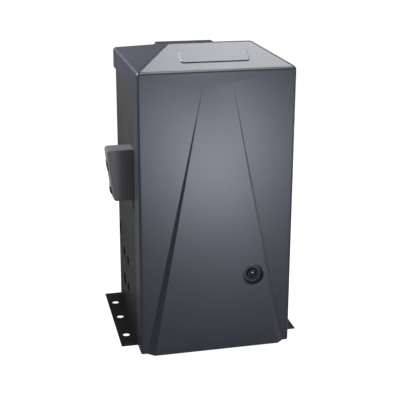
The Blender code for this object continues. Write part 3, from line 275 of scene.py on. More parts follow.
def node_material(
    name, colour, roughness, metallic=0.0, grain=900.0, bump=0.00004, mottle=0.10, shift=0.05, **sockets
):
    """A procedural finish: mottled colour, and a fine grain in its roughness and relief."""
    material = bpy.data.materials.new(name)
    material.use_nodes = True
    nodes, links = material.node_tree.nodes, material.node_tree.links
    shader = nodes["Principled BSDF"]
    shader.inputs["Metallic"].default_value = metallic
    for socket, value in sockets.items():
        shader.inputs[socket.replace("_", " ")].default_value = value
    place = nodes.new("ShaderNodeTexCoord")
    cloud = nodes.new("ShaderNodeTexNoise")
    cloud.inputs["Scale"].default_value = CLOUD_SCALE
    cloud.inputs["Detail"].default_value = CLOUD_DETAIL
    fine = nodes.new("ShaderNodeTexNoise")
    fine.inputs["Scale"].default_value = grain
    fine.inputs["Detail"].default_value = GRAIN_DETAIL
    tint = nodes.new("ShaderNodeValToRGB")
    dark = [channel * (1.0 - mottle) for channel in colour]
    light = [min(1.0, channel * (1.0 + mottle)) for channel in colour]
    tint.color_ramp.elements[0].color = (*dark, 1.0)
    tint.color_ramp.elements[1].color = (*light, 1.0)
    tint.color_ramp.elements[0].position = TINT_START
    tint.color_ramp.elements[1].position = TINT_END
    gloss = nodes.new("ShaderNodeMapRange")
    gloss.inputs["To Min"].default_value = max(LEAST_ROUGHNESS, roughness - shift)
    gloss.inputs["To Max"].default_value = min(1.0, roughness + shift)
    relief = nodes.new("ShaderNodeBump")
    relief.inputs["Strength"].default_value = 1.0
    relief.inputs["Distance"].default_value = bump
    links.new(place.outputs["Object"], cloud.inputs["Vector"])
    links.new(place.outputs["Object"], fine.inputs["Vector"])
    links.new(cloud.outputs["Fac"], tint.inputs["Fac"])
    links.new(tint.outputs["Color"], shader.inputs["Base Color"])
    links.new(fine.outputs["Fac"], gloss.inputs["Value"])
    links.new(gloss.outputs["Result"], shader.inputs["Roughness"])
    links.new(fine.outputs["Fac"], relief.inputs["Height"])
    links.new(relief.outputs["Normal"], shader.inputs["Normal"])
    return material


def draw_out(material, share):
    """Draw the fine grain out along X, as on wound wire or stacked sheets."""
    nodes, links = material.node_tree.nodes, material.node_tree.links
    mapping = nodes.new("ShaderNodeMapping")
    mapping.inputs["Scale"].default_value = (share, 1.0, 1.0)
    fine = [node for node in nodes if node.type == "TEX_NOISE"][1]
    place = next(node for node in nodes if node.type == "TEX_COORD")
    links.new(place.outputs["Object"], mapping.inputs["Vector"])
    links.new(mapping.outputs["Vector"], fine.inputs["Vector"])


MATERIALS = {
    name: node_material(name, colour, roughness, **rest) for name, (colour, roughness, rest) in LOOKS.items()
}
for drawn, share in DRAWN_OUT.items():
    draw_out(MATERIALS[drawn], share)

# Edge rounding of the CAD nodes that need other than the usual, in metres
EDGE_WIDTHS = {
    "cover": 0.0012, "left_side_panel": 0.0006, "right_side_panel": 0.0006, "rear_panel": 0.0006,
    "base_plate": 0.0005, "station_housing": 0.0006, "gearbox_housing": 0.0022, "gearbox_cover": 0.0015,
    "motor_front_bell": 0.0012, "motor_rear_bell": 0.0012, "motor_base": 0.0008, "lock_body": 0.0005,
    "lock_plug": 0.0003, "control_board": 0.0002, "reset_button": 0.0008, "v_belt": 0.0006,
    "open_limit_lever": 0.0002, "close_limit_lever": 0.0002, "motor_relay": 0.0012,
}
USUAL_EDGE = 0.0004


def finish_nodes():
    slots = {row["node"]: row["material_slot"] for row in frame["record"]["subparts"]}
    for name, item in frame["nodes"].items():
        item.data.materials.clear()
        item.data.materials.append(MATERIALS[OWN_LOOKS.get(name, slots[name])])
        soften(item, EDGE_WIDTHS.get(name, USUAL_EDGE))


def add_piece(name, shape, slot, edge, body="frame", look=None, replaced=()):
    """A piece that rides a body, in its material slot's look unless it has a look of its own."""
    item = mesh_object(name, shape, MATERIALS[look or slot])
    soften(item, edge)
    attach(item, body)
    if replaced:
        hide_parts(*replaced)


finish_nodes()


# ---------------------------------------------------------------- screws and bolts

LEAST_SLOPE = 0.01
BASE_BOLT, BELL_BOLT, GEARBOX_SCREW = 0.0065, 0.0034, 0.0060
BOARD_SCREW, TRANSFORMER_SCREW, POWER_BOX_SCREW, STATION_SCREW = 0.0034, 0.0036, 0.0040, 0.0028
# From the base plate's top to the top of the feet that stand on it
FOOT_RISE = 0.0033
GEARBOX_COVER_PLATE = 0.008


def hexagon(apothem):
    """An outline is the radius as a function of the angle."""
    return lambda angle: apothem / cos(angle % (pi / 3) - pi / 6)


def edge_reach(half, slope):
    """How far out a straight edge is, kept finite where it runs along the angle."""
    return half / max(abs(slope), LEAST_SLOPE)


def cross(reach, half):
    return lambda angle: min(reach, max(edge_reach(half, sin(angle)), edge_reach(half, cos(angle))))


def keyway(half_height, half_width):
    return lambda angle: min(edge_reach(half_height, sin(angle)), edge_reach(half_width, cos(angle)))


def shaped(profile, sides=ROUND_SIDES, is_ring=False):
    """Like turned about +Z, but a radius may be an outline. The ends are flat, or meet in a ring."""
    rings = []
    for radius, level in profile:
        ring = []
        for step in range(sides):
            angle = tau * step / sides
            reach = radius(angle) if callable(radius) else radius
            ring.append(Vector((reach * cos(angle), reach * sin(angle), level)))
        rings.append(ring)
    return skin(rings, is_ring)


def hex_bolt(place, direction, size):
    """Washer, chamfered hexagon head and the thread's end as one shape."""
    washer, head = size * 0.22, size * 0.70
    flats = hexagon(size * 0.80)
    profile = [
        (size * 1.15, 0.0), (size * 1.15, washer), (flats, washer), (flats, washer + head * 0.86),
        (size * 0.74, washer + head), (size * 0.50, washer + head), (size * 0.46, washer + head * 0.9),
    ]
    return aimed(shaped(profile), place, direction)


def socket_screw(place, direction, size):
    recess = hexagon(size * 0.40)
    profile = [
        (size * 0.72, 0.0), (size * 0.72, size * 0.88), (size * 0.64, size), (size * 0.47, size),
        (recess, size * 0.96), (recess, size * 0.45),
    ]
    return aimed(shaped(profile), place, direction)


def pan_screw(place, direction, size):
    recess = cross(size * 0.42, size * 0.10)
    profile = [
        (size * 0.80, 0.0), (size * 0.92, size * 0.12), (size * 0.92, size * 0.30),
        (size * 0.74, size * 0.50), (size * 0.46, size * 0.58), (recess, size * 0.58),
        (cross(size * 0.22, size * 0.06), size * 0.26),
    ]
    return aimed(shaped(profile), place, direction)


def drive_fasteners():
    base_low, base_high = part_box("drive_base")
    idler_low, idler_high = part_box("idler_bracket")
    limit_foot = middle_of("limit_bracket").x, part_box("limit_bracket")[1].y - 0.013
    places = [
        (x, y)
        for x in (base_low.x + 0.012, base_high.x - 0.012) for y in (base_low.y + 0.020, base_high.y - 0.020)
    ]
    places += [(x, idler_high.y - 0.014) for x in (idler_low.x + 0.018, idler_high.x - 0.018)]
    foot_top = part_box("base_plate")[1].z + FOOT_RISE
    bolts = [hex_bolt((x, y, foot_top), UP, BASE_BOLT) for x, y in places + [limit_foot]]
    add_piece("base_bolts", merged(bolts), "zinc_plate", 0.0002)

    low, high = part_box("gearbox_cover")
    housing_low, housing_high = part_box("gearbox_housing")
    face = high.y - GEARBOX_COVER_PLATE
    screws = [
        socket_screw((x, face, z), FRONT, GEARBOX_SCREW)
        for x in (low.x + 0.008, high.x - 0.008) for z in (low.z + 0.008, high.z - 0.064, high.z - 0.008)
    ]
    add_piece("gearbox_screws", merged(screws), "black_oxide", 0.0002)
    plug = shaped([(0.0125, 0.0), (0.0125, 0.0025), (hexagon(0.0085), 0.0025), (hexagon(0.0085), 0.0090),
                   (0.0075, 0.0100), (0.0050, 0.0100), (0.0045, 0.0080)])
    plug_place = (high.x - 0.028, housing_low.y + 0.040, high.z)
    add_piece("oil_fill_plug", aimed(plug, plug_place, UP), "zinc_plate", 0.0003)
    rim = shaped([(0.0115, 0.0), (0.0115, 0.0030), (0.0100, 0.0040), (0.0082, 0.0040), (0.0078, 0.0012)])
    rim_place = (high.x - 0.024, face, high.z - 0.050)
    add_piece("oil_level_rim", aimed(rim, rim_place, FRONT), "bronze", 0.0003)

    axis = middle_of("output_shaft")
    section = ((0.0172, 0.0), (0.0172, 0.0022), (0.0135, 0.0022), (0.0128, 0.0010), (0.0132, 0.0),
               (0.0140, 0.0006), (0.0160, 0.0006))
    seals = []
    for level, inward in ((low.y - 0.0002, 1), (housing_high.y, -1)):
        profile = [(radius, level + inward * depth) for radius, depth in section]
        seals.append(turned(profile, "Y", (axis.x, axis.z)))
    add_piece("shaft_seals", merged(seals), "black_rubber", 0.0002)


# ---------------------------------------------------------------- limit screw

THREAD_RADIUS, THREAD_DEPTH, THREAD_PITCH = 0.0060, 0.0011, 0.00254
THREAD_SIDES, THREAD_RINGS_PER_PITCH = 32, 6
JOURNAL_RADIUS = 0.0058
LIMIT_TEETH, TOOTH_ROOT, TOOTH_TIP = 24, 0.0272, 0.0321
# Half a tooth: the share of the way from its root to its tip, and half its width there
HALF_TOOTH = ((0.0, 0.0031), (0.0, 0.0023), (0.55, 0.0018), (1.0, 0.0008))


def threaded_rod(centre, low, high):
    """A single-start thread along Y: the radius falls in a wedge once a turn, and runs out at the ends."""
    count = int((high - low) / THREAD_PITCH * THREAD_RINGS_PER_PITCH)
    rings = []
    for step in range(count + 1):
        y = low + (high - low) * step / count
        runout = min(1.0, (y - low) / (0.5 * THREAD_PITCH), (high - y) / (0.5 * THREAD_PITCH))
        ring = []
        for spot in range(THREAD_SIDES):
            angle = tau * spot / THREAD_SIDES
            share = ((y - low) / THREAD_PITCH + spot / THREAD_SIDES) % 1.0
            wedge = 1.0 - abs(2.0 * share - 1.0)
            reach = THREAD_RADIUS - THREAD_DEPTH * (1.0 - wedge * runout)
            ring.append(Vector((centre[0] + reach * cos(angle), y, centre[1] + reach * sin(angle))))
        rings.append(ring)
    return skin(rings)


def gear_outline(centre):
    flank = [(TOOTH_ROOT + share * (TOOTH_TIP - TOOTH_ROOT), half) for share, half in HALF_TOOTH]
    tooth = [(radius, -half) for radius, half in flank] + flank[::-1]
    points = []
    for number in range(LIMIT_TEETH):
        for radius, half in tooth:
            angle = pi / LIMIT_TEETH + tau * number / LIMIT_TEETH + half / radius
            points.append((centre[0] + radius * cos(angle), centre[1] + radius * sin(angle)))
    return points


def limit_spindle():
    low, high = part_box("limit_screw")
    middle = middle_of("limit_screw")
    centre = (middle.x, middle.z)
    front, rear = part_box("limit_bracket")[0].y, high.y - 0.0195
    hub = ((0.0, 0.0165), (0.0100, 0.0165), (0.0110, 0.0155), (0.0110, 0.0045), (0.0, 0.0045))
    shape = merged([
        prism(gear_outline(centre), "Y", high.y - 0.014, high.y - 0.006),
        turned([(radius, high.y - back) for radius, back in hub], "Y", centre),
        threaded_rod(centre, front + 0.0030, rear - 0.0030),
        rod("Y", centre, JOURNAL_RADIUS, low.y, front + 0.0035, chamfer=0.0008),
        rod("Y", centre, JOURNAL_RADIUS, rear - 0.0035, high.y, chamfer=0.0008),
    ])
    add_piece(
        "limit_screw_threaded", shape, "machined_steel", 0.0001,
        body="limit_spindle", replaced=("limit_screw",),
    )


# ---------------------------------------------------------------- motor

MOTOR_AXIS = middle_of("motor_shell")
BELL_SIDES = 60
VENT_START, VENT_END, VENT_DEPTH = 0.046, 0.066, 0.0060
# The vents repeat every so many sides, and these sides of each group stay closed
VENT_GROUP, CLOSED_SIDES = 5, (0, 1)
LEAST_OUTWARD = 0.3
THROUGH_BOLT_RADIUS = 0.0765
ARC_STEPS = 40


def arc_band(section, start, end):
    """Carry a (radius, x) section along an arc about the motor's axis, between two angles in degrees."""
    rings = []
    for step in range(ARC_STEPS + 1):
        angle = radians(start + (end - start) * step / ARC_STEPS)
        rings.append([Vector((x, r * cos(angle), MOTOR_AXIS.z + r * sin(angle))) for r, x in section])
    return skin(rings)


def vented_bell(node, toward):
    """The end bell with a ring of vent slots pressed into its cone."""
    low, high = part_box(node)
    seat = low.x if toward > 0 else high.x
    profile = [
        (0.0825, 0.0), (0.0825, 0.0085), (0.0810, 0.0105), (0.0700, 0.0205), (0.0660, 0.0222),
        (0.0440, 0.0250), (0.0350, 0.0260), (0.0240, 0.0260), (0.0225, 0.0245), (0.0180, 0.0245),
        (0.0165, 0.0260), (0.0098, 0.0260), (0.0098, 0.0140), (0.0600, 0.0100), (0.0740, 0.0),
    ]
    levels = [(radius, seat + toward * level) for radius, level in profile]
    shape = turned(levels, "X", (0.0, MOTOR_AXIS.z), BELL_SIDES)
    slots = []
    for face in shape.faces:
        spoke = (face.calc_center_median() - MOTOR_AXIS).yz
        side = int((pi + Vector((1.0, 0.0)).angle_signed(spoke)) / tau * BELL_SIDES)
        on_cone = VENT_START < spoke.length < VENT_END and face.normal.x * toward > LEAST_OUTWARD
        if on_cone and side % VENT_GROUP not in CLOSED_SIDES:
            slots.append(face)
    pushed = bmesh.ops.extrude_face_region(shape, geom=slots)
    points = [item for item in pushed["geom"] if isinstance(item, bmesh.types.BMVert)]
    bmesh.ops.translate(shape, verts=points, vec=(-toward * VENT_DEPTH, 0.0, 0.0))
    bmesh.ops.delete(shape, geom=slots, context="FACES_ONLY")
    add_piece(f"{node}_vented", closed(shape), "motor_enamel", 0.0006, replaced=(node,))


def motor_details():
    vented_bell("motor_front_bell", 1)
    vented_bell("motor_rear_bell", -1)
    low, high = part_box("motor_shell")
    bolts = []
    for quarter in range(4):
        angle = pi / 4 + pi / 2 * quarter
        y, z = THROUGH_BOLT_RADIUS * cos(angle), MOTOR_AXIS.z + THROUGH_BOLT_RADIUS * sin(angle)
        bolts.append(hex_bolt((high.x + 0.0150, y, z), RIGHT, BELL_BOLT))
        bolts.append(hex_bolt((low.x - 0.0150, y, z), LEFT, BELL_BOLT))
    add_piece("motor_through_bolts", merged(bolts), "zinc_plate", 0.0002)

    outer = high.z - MOTOR_AXIS.z
    beads = []
    for x in (low.x + 0.003, high.x - 0.009):
        section = [(outer + 0.0001, x), (outer + 0.0007, x + 0.001), (outer + 0.0007, x + 0.005),
                   (outer + 0.0001, x + 0.006)]
        beads.append(arc_band(section, -15, 195))
    add_piece("motor_shell_beads", merged(beads), "motor_enamel", 0.0002)
    inside, outside, start, end = outer + 0.0002, outer + 0.0009, low.x + 0.050, high.x - 0.050
    plate = arc_band([(inside, start), (outside, start), (outside, end), (inside, end)], 192, 228)
    add_piece("motor_rating_plate", plate, "zinc_plate", 0.0001)

    can_low, can_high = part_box("motor_capacitor")
    centre = (0.0, middle_of("motor_capacitor").z)
    radius = (can_high.z - can_low.z) / 2
    straps = []
    for x in (can_low.x + 0.018, can_high.x - 0.030):
        straps.append(tube("X", centre, radius + 0.0012, radius + 0.0002, x, x + 0.012))
        straps.append(box((x, -0.0090, high.z + 0.0004), (x + 0.012, 0.0090, can_low.z - 0.0002)))
    add_piece("capacitor_straps", merged(straps), "zinc_plate", 0.0003)
    cap = rod("X", centre, radius * 0.93, can_high.x + 0.0002, can_high.x + 0.0030, chamfer=0.0012)
    add_piece("capacitor_end_cap", cap, "black_rubber", 0.0003)
    start, end = can_high.x + 0.0028, can_high.x + 0.0105
    tabs = [
        box((start, y - 0.0030, centre[1] - 0.0004), (end, y + 0.0030, centre[1] + 0.0004))
        for y in (-0.008, 0.008)
    ]
    add_piece("capacitor_tabs", merged(tabs), "zinc_plate", 0.0001)


# ---------------------------------------------------------------- control board

TERMINALS = 20
DIVIDER, TERMINAL_GAP = 0.0011, 0.0001
PIN_PITCH = 0.00254


def terminal_strip():
    """Wire clamps side by side between thin dividers; gives back the screw in each."""
    low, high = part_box("terminal_block")
    step = (high.x - low.x) / TERMINALS
    full = [(high.y, low.z), (high.y, high.z), (low.y + 0.005, high.z), (low.y, high.z - 0.003),
            (low.y, low.z)]
    notch = [(high.y, low.z + 0.0045), (high.y, high.z - 0.0006), (low.y + 0.0054, high.z - 0.0006),
             (low.y + 0.0010, high.z - 0.0040), (low.y + 0.0010, low.z + 0.0008),
             (low.y + 0.0040, low.z + 0.0008), (low.y + 0.0040, low.z + 0.0045)]
    head = [(0.0028, 0.0), (0.0028, 0.0007), (0.0024, 0.0010), (cross(0.0020, 0.0004), 0.0010),
            (cross(0.0018, 0.0003), 0.0003)]
    body, screws = [], []
    for number in range(TERMINALS):
        left = low.x + number * step
        body.append(prism(full, "X", left + TERMINAL_GAP, left + DIVIDER))
        body.append(prism(notch, "X", left + DIVIDER, left + step - TERMINAL_GAP))
        middle = left + (DIVIDER + step - TERMINAL_GAP) / 2
        screws.append(aimed(shaped(head), (middle, low.y + 0.0010, low.z + 0.0046), FRONT))
    body.append(prism(full, "X", high.x - DIVIDER, high.x - TERMINAL_GAP))
    add_piece("terminal_strip", merged(body), "terminal_green", 0.0002, replaced=("terminal_block",))
    return screws


def board_parts():
    """The parts on the board; x and z are measured from its lower left corner."""
    low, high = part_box("control_board")
    seat = low.y
    screws = terminal_strip()

    def block(x, z, wide, tall, deep, lift=0.0003):
        left, foot = low.x + x - wide / 2, low.z + z - tall / 2
        return box((left, seat - lift - deep, foot), (left + wide, seat - lift, foot + tall))

    def standing(profile, sides, x, z):
        return aimed(shaped(profile, sides), (low.x + x, seat, low.z + z), FRONT)

    chips = [block(0.107, 0.063, 0.016, 0.016, 0.0018, 0.0008)]
    pins, tops = [], []
    for step in range(11):
        offset = -0.0065 + 0.0013 * step
        pins.append(block(0.107 + offset, 0.063, 0.0005, 0.0200, 0.0006))
        pins.append(block(0.107, 0.063 + offset, 0.0200, 0.0005, 0.0006))
    for x, z in ((0.137, 0.087), (0.155, 0.087), (0.137, 0.059)):
        chips.append(block(x, z, 0.0068, 0.0190, 0.0034, 0.0012))
        for step in range(8):
            pins.append(block(x, z - 0.0076 + PIN_PITCH * 0.85 * step, 0.0090, 0.0007, 0.0022))
    add_piece("board_chips", merged(chips), "black_plastic", 0.0002)

    cans = []
    for x, z, radius, tall in (
        (0.081, 0.103, 0.0064, 0.016), (0.081, 0.087, 0.0064, 0.016), (0.055, 0.057, 0.0050, 0.012),
        (0.039, 0.057, 0.0050, 0.012), (0.177, 0.061, 0.0032, 0.008), (0.185, 0.061, 0.0032, 0.008),
    ):
        cans.append(standing([
            (radius, 0.0003), (radius, 0.0016), (radius - 0.0005, 0.0022), (radius, 0.0028),
            (radius, tall - 0.0006), (radius - 0.0006, tall), (radius - 0.0012, tall),
        ], 32, x, z))
        score = cross(radius - 0.0016, 0.0003)
        tops.append(standing([
            (radius - 0.0013, tall - 0.0002), (radius - 0.0013, tall + 0.0001), (score, tall + 0.0001),
            (score, tall - 0.0001),
        ], 64, x, z))
    add_piece("board_capacitors", merged(cans), "black_plastic", 0.0001, look="can_blue")

    resistor = [(0.0011, -0.0032), (0.0014, -0.0026), (0.0014, -0.0018), (0.0011, -0.0012), (0.0011, 0.0012),
                (0.0014, 0.0018), (0.0014, 0.0026), (0.0011, 0.0032)]
    lamp = [(0.0015, 0.0004), (0.0015, 0.0022), (0.0013, 0.0030), (0.0008, 0.0036)]
    resistors, lamps = [], []
    for number in range(14):
        x, y = 0.023 + 0.0125 * number, seat - 0.0018
        resistors.append(aimed(shaped(resistor, 16), (low.x + x, y, low.z + 0.0385), UP))
        pins.append(rod("Z", (low.x + x, y), 0.0003, low.z + 0.033, low.z + 0.044, 8))
        lamps.append(standing(lamp, 16, x + 0.006, 0.029))
    add_piece("board_resistors", merged(resistors), "white_nylon", 0.0, look="resistor_tan")
    add_piece("board_lamps", merged(lamps), "black_plastic", 0.0, look="lamp_amber")

    add_piece(
        "board_setting_switch", block(0.195, 0.097, 0.0210, 0.0098, 0.0060), "black_plastic", 0.0003,
        look="switch_red",
    )
    nubs = []
    for step in range(8):
        thrown = 0.0014 if step % 3 else -0.0014
        nubs.append(block(0.1861 + PIN_PITCH * step, 0.097 + thrown, 0.0013, 0.0016, 0.0006, 0.0061))
    plugs = [block(x, 0.117, 0.0200, 0.0058, 0.0085) for x in (0.137, 0.167)]
    plugs.append(block(0.195, 0.080, 0.0150, 0.0058, 0.0085))
    add_piece("board_connectors", merged(nubs + plugs), "white_nylon", 0.0003)

    dial = [(0.0030, 0.0050), (0.0030, 0.0058), (cross(0.0024, 0.0004), 0.0058),
            (cross(0.0022, 0.0004), 0.0052)]
    trimmers = []
    for x in (0.199, 0.2115):
        trimmers.append(block(x, 0.063, 0.0095, 0.0095, 0.0050))
        tops.append(standing(dial, 32, x, 0.063))
    add_piece("board_trimmers", merged(trimmers), "black_plastic", 0.0003, look="can_blue")

    sink = [block(0.0105, 0.091, 0.0120, 0.0300, 0.0030)]
    sink += [block(0.0051 + 0.0027 * fin, 0.091, 0.0012, 0.0300, 0.0160) for fin in range(5)]
    add_piece("board_heat_sink", merged(sink), "machined_steel", 0.0002)

    relay_low, relay_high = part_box("motor_relay")
    for x, z in corners(relay_low, relay_high, 0.009, 0.007):
        tab_low = (x - 0.0030, relay_low.y - 0.0065, z - 0.0004)
        pins.append(box(tab_low, (x + 0.0030, relay_low.y - 0.0002, z + 0.0004)))
    screws += [pan_screw((x, seat, z), FRONT, BOARD_SCREW) for x, z in corners(low, high, 0.006, 0.006)]
    add_piece("board_metalwork", merged(pins + tops + screws), "zinc_plate", 0.0)


# ---------------------------------------------------------------- transformer

# The winding's section is a rectangle with rounded corners, centred this far in front of the seat
WINDING_DEPTH, WINDING_CORNER = 0.023, 0.006


def transformer_parts():
    """Laminated core, taped winding on a bobbin, and the steel frame that holds it."""
    low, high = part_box("transformer")
    seat, middle = high.y, middle_of("transformer")
    core = box(
        (middle.x - 0.030, seat - 0.038, low.z + 0.0012), (middle.x + 0.030, seat - 0.008, high.z - 0.0012)
    )
    add_piece(
        "transformer_core", core, "machined_steel", 0.0004, look="lamination", replaced=("transformer",)
    )

    def winding_outline(share_x, share_y):
        outline = []
        for quarter, (side_x, side_y) in enumerate(((1, 1), (-1, 1), (-1, -1), (1, -1))):
            for step in range(5):
                angle = pi / 2 * quarter + pi / 8 * step
                x = side_x * 0.012 + WINDING_CORNER * cos(angle)
                y = side_y * 0.0205 + WINDING_CORNER * sin(angle)
                outline.append((middle.x + x * share_x, seat - WINDING_DEPTH + y * share_y))
        return outline

    winding = prism(winding_outline(1.0, 1.0), "Z", middle.z - 0.0155, middle.z + 0.0155)
    add_piece("transformer_winding", winding, "copper_winding", 0.0006, look="winding_tape")
    flange = winding_outline(1.06, 0.985)
    flanges = [prism(flange, "Z", z, z + 0.0016) for z in (middle.z - 0.0175, middle.z + 0.0159)]
    add_piece("transformer_bobbin", merged(flanges), "black_plastic", 0.0002)
    feet = [
        box((left, seat - deep, low.z), (right, seat, high.z)) for left, right, deep in (
            (low.x, low.x + 0.010, 0.0020), (high.x - 0.010, high.x, 0.0020),
            (low.x + 0.0072, low.x + 0.0078, 0.0390), (high.x - 0.0078, high.x - 0.0072, 0.0390),
        )
    ]
    screws = [
        pan_screw((x, seat - 0.0020, z), FRONT, TRANSFORMER_SCREW)
        for x in (low.x + 0.0036, high.x - 0.0036) for z in (middle.z - 0.016, middle.z + 0.016)
    ]
    lugs = []
    for step in range(5):
        lug_low = (middle.x - 0.014 + 0.007 * step, seat - 0.0490, middle.z - 0.0172)
        lugs.append(box(lug_low, (lug_low[0] + 0.003, seat - 0.0462, middle.z - 0.0166)))
    add_piece("transformer_frame", merged(feet + screws + lugs), "zinc_plate", 0.0002)


# ---------------------------------------------------------------- power box and side station


def power_box_parts():
    low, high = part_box("power_box_cover")
    face = low.y
    screws = [pan_screw((x, face, z), FRONT, POWER_BOX_SCREW) for x, z in corners(low, high, 0.0055, 0.0055)]
    x, z = middle_of("power_toggle").x, low.z + 0.080
    nut = shaped([(0.0100, 0.0), (0.0100, 0.0008), (hexagon(0.0078), 0.0008), (hexagon(0.0078), 0.0030),
                  (0.0072, 0.0034), (0.0063, 0.0034), (0.0062, 0.0010)])
    plate = box((x - 0.0160, face - 0.0006, z - 0.0215), (x + 0.0160, face - 0.0001, z - 0.0125))
    fittings = screws + [aimed(nut, (x, face, z), FRONT), plate]
    add_piece("power_box_fittings", merged(fittings), "zinc_plate", 0.0001)

    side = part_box("power_box")[0]
    disc = [(0.0100, 0.0), (0.0100, 0.0006), (0.0094, 0.0009), (0.0085, 0.0009), (0.0080, 0.0004)]
    knockouts = [
        aimed(shaped(disc), (side.x, side.y + 0.022, side.z + level), LEFT) for level in (0.023, 0.049)
    ]
    add_piece("power_box_knockouts", merged(knockouts), "zinc_plate", 0.0)


STATION_LOW, STATION_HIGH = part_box("station_housing")
STATION_HEIGHT = STATION_HIGH.z - STATION_LOW.z
# The station's face leans out from its foot to its top
FACE_FOOT_X, FACE_LEAN = -0.222, 0.015
OUTWARD = Vector((-STATION_HEIGHT, 0.0, -FACE_LEAN)).normalized()
BUTTON_Z = STATION_LOW.z + 0.025
SOUNDER_Z = STATION_LOW.z + 0.083


def on_station(z):
    share = (z - STATION_LOW.z) / STATION_HEIGHT
    return Vector((FACE_FOOT_X - FACE_LEAN * share, (STATION_LOW.y + STATION_HIGH.y) / 2, z))


def station_parts():
    """Grilled sounder, a shroud round the reset button, and four cover screws."""
    ribs = [(0.0150, -0.0250), (0.0150, 0.0006), (0.0146, 0.0016), (0.0137, 0.0020), (0.0128, 0.0020)]
    for ring in range(4):
        outer = 0.0122 - 0.0027 * ring
        ribs += [(outer, 0.0006), (outer - 0.0011, 0.0006), (outer - 0.0013, 0.0017),
                 (outer - 0.0023, 0.0017)]
    ribs += [(0.0012, 0.0008)]
    grille = [aimed(shaped(ribs), on_station(SOUNDER_Z), OUTWARD)]
    for spoke in range(6):
        bar = box((-0.0006, 0.0, 0.0004), (0.0006, 0.0126, 0.0019))
        turn = Matrix.Rotation(tau * spoke / 6, 3, "Z")
        bmesh.ops.rotate(bar, cent=(0, 0, 0), matrix=turn, verts=bar.verts)
        grille.append(aimed(bar, on_station(SOUNDER_Z), OUTWARD))
    add_piece("alarm_sounder_grille", merged(grille), "black_plastic", 0.0002, replaced=("alarm_sounder",))

    ring = [(0.0112, 0.0001), (0.0148, 0.0001), (0.0145, 0.0010), (0.0138, 0.0014), (0.0118, 0.0014),
            (0.0112, 0.0010)]
    shroud = aimed(shaped(ring, is_ring=True), on_station(BUTTON_Z), OUTWARD)
    add_piece("reset_button_shroud", shroud, "black_plastic", 0.0002)

    screws = []
    for z in (STATION_LOW.z + 0.0105, STATION_HIGH.z - 0.0105):
        for y in (-0.0165, 0.0165):
            place = on_station(z) + Vector((0.0, y, 0.0)) - OUTWARD * 0.0014
            screws.append(pan_screw(place, OUTWARD, STATION_SCREW))
    add_piece("station_screws", merged(screws), "zinc_plate", 0.0)


# ---------------------------------------------------------------- lock


# How far the cover's front leans back for each metre up
COVER_LEAN = 0.0221


def lock_details():
    """The moulded lip round the lock's recess, and the key face, slightly domed round its keyway."""
    middle = middle_of("lock_body")
    x, z = middle.x, middle.z
    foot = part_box("cover")[0]
    lip = [(0.0231, -0.0016), (0.0234, -0.0004), (0.0250, 0.0007), (0.0262, 0.0008), (0.0272, -0.0002),
           (0.0265, -0.0016)]
    wedge_face = foot.y + COVER_LEAN * (z - foot.z)
    lip_ring = aimed(shaped(lip, 72, is_ring=True), (x, wedge_face, z), (0.0, -1.0, COVER_LEAN))
    add_piece("lock_recess_lip", lip_ring, "moulded_cover", 0.0, body="cover_body")

    slot = keyway(0.0041, 0.0009)
    face = [(0.0064, 0.0), (0.0064, 0.0001), (0.0056, 0.00027), (0.0048, 0.00040), (slot, 0.0005),
            (slot, 0.0)]
    plug_face = aimed(shaped(face, 96, is_ring=True), (x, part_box("lock_plug")[0].y, z), FRONT)
    add_piece("lock_key_face", plug_face, "black_oxide", 0.0, body="lock_barrel")


drive_fasteners()
lock_details()
limit_spindle()
motor_details()
board_parts()
transformer_parts()
power_box_parts()
station_parts()


# ---------------------------------------------------------------- floor, light and camera


WHITE = (1.0, 1.0, 1.0, 1.0)
AMBIENT_TINT, AMBIENT_STRENGTH = (0.93, 0.96, 1.0, 1.0), 0.09
FLOOR_REACH, FLOOR_DEPTH, FLOOR_GAP = 9.0, 0.020, 0.0002
SENSOR_WIDTH, LENS = 36.0, 81.0
SHIFT_X, SHIFT_Y = 0.021, -0.070
CAMERA_TARGET, CAMERA_DISTANCE = Vector((-0.0120, 0.0, 0.3793)), 2.237
AZIMUTH, ELEVATION = radians(-12.61), radians(16.76)


def floor():
    """A dull pale floor that the camera sees as plain white."""
    pale = node_material("studio_floor", (0.24, 0.24, 0.24), 0.7, grain=30.0, mottle=0.01)
    nodes, links = pale.node_tree.nodes, pale.node_tree.links
    shader = nodes["Principled BSDF"]
    shader.inputs["Emission Color"].default_value = WHITE
    ray = nodes.new("ShaderNodeLightPath")
    links.new(ray.outputs["Is Camera Ray"], shader.inputs["Emission Strength"])
    shape = box((-FLOOR_REACH, -FLOOR_REACH, -FLOOR_DEPTH), (FLOOR_REACH, FLOOR_REACH, -FLOOR_GAP))
    item = mesh_object("floor", shape, pale)


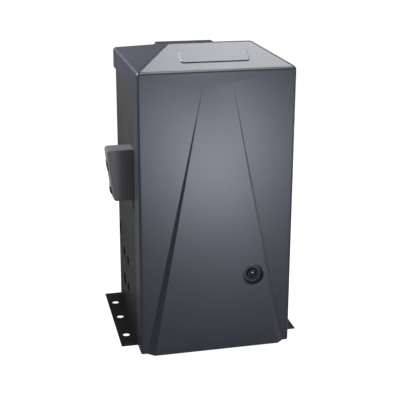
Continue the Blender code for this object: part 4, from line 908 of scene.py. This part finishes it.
def surroundings():
    """Dim light from all round, which the camera sees as plain white."""
    world = bpy.data.worlds.new("studio")
    bpy.context.scene.world = world
    world.use_nodes = True
    nodes, links = world.node_tree.nodes, world.node_tree.links
    ambient = nodes["Background"]
    ambient.inputs["Color"].default_value = AMBIENT_TINT
    ambient.inputs["Strength"].default_value = AMBIENT_STRENGTH
    seen = nodes.new("ShaderNodeBackground")
    seen.inputs["Color"].default_value = WHITE
    seen.inputs["Strength"].default_value = 1.0
    ray = nodes.new("ShaderNodeLightPath")
    choice = nodes.new("ShaderNodeMixShader")
    links.new(ray.outputs["Is Camera Ray"], choice.inputs["Fac"])
    links.new(ambient.outputs["Background"], choice.inputs[1])
    links.new(seen.outputs["Background"], choice.inputs[2])
    links.new(choice.outputs["Shader"], nodes["World Output"].inputs["Surface"])


def soft_light(name, place, target, size, power, tint=(1.0, 1.0, 1.0), spread=180.0):
    light = bpy.data.lights.new(name, "AREA")
    light.shape = "RECTANGLE"
    light.size, light.size_y = size
    light.energy = power
    light.spread = radians(spread)
    light.color = tint
    item = new_object(name, light)
    item.location = place
    item.rotation_mode = "QUATERNION"
    item.rotation_quaternion = (Vector(target) - Vector(place)).to_track_quat("-Z", "Y")


def studio():
    surroundings()
    soft_light("overhead", (0.55, 0.35, 2.6), (0.0, 0.0, 0.6), (1.2, 1.2), 48.0, (0.955, 0.985, 1.0))
    soft_light("left_high", (-1.7, 0.9, 1.5), (-0.18, 0.05, 0.78), (0.6, 0.6), 8.0, spread=36.0)
    soft_light("front_low", (0.33, -1.62, 0.14), (0.0, -0.2, 0.48), (0.30, 0.30), 9.4, (0.80, 0.90, 1.0))
    soft_light("front_high", (0.35, -1.45, 2.3), (0.0, -0.2, 0.50), (0.9, 0.6), 30.0)
    soft_light("front_left", (-1.4, -1.4, 0.8), (-0.2, -0.1, 0.40), (0.5, 0.5), 7.0)
    soft_light("right_low", (1.5, -0.12, 0.25), (0.15, -0.21, 0.30), (0.4, 0.4), 5.0)


def camera():
    lens = bpy.data.cameras.new("camera")
    lens.sensor_width = SENSOR_WIDTH
    lens.lens = LENS
    lens.shift_x, lens.shift_y = SHIFT_X, SHIFT_Y
    back = Vector((sin(AZIMUTH) * cos(ELEVATION), -cos(AZIMUTH) * cos(ELEVATION), sin(ELEVATION)))
    item = new_object("camera", lens)
    item.location = CAMERA_TARGET + back * CAMERA_DISTANCE
    item.rotation_mode = "QUATERNION"
    item.rotation_quaternion = (-back).to_track_quat("-Z", "Y")
    bpy.context.scene.camera = item
    bpy.context.scene.view_settings.view_transform = "Standard"


floor()
studio()
camera()
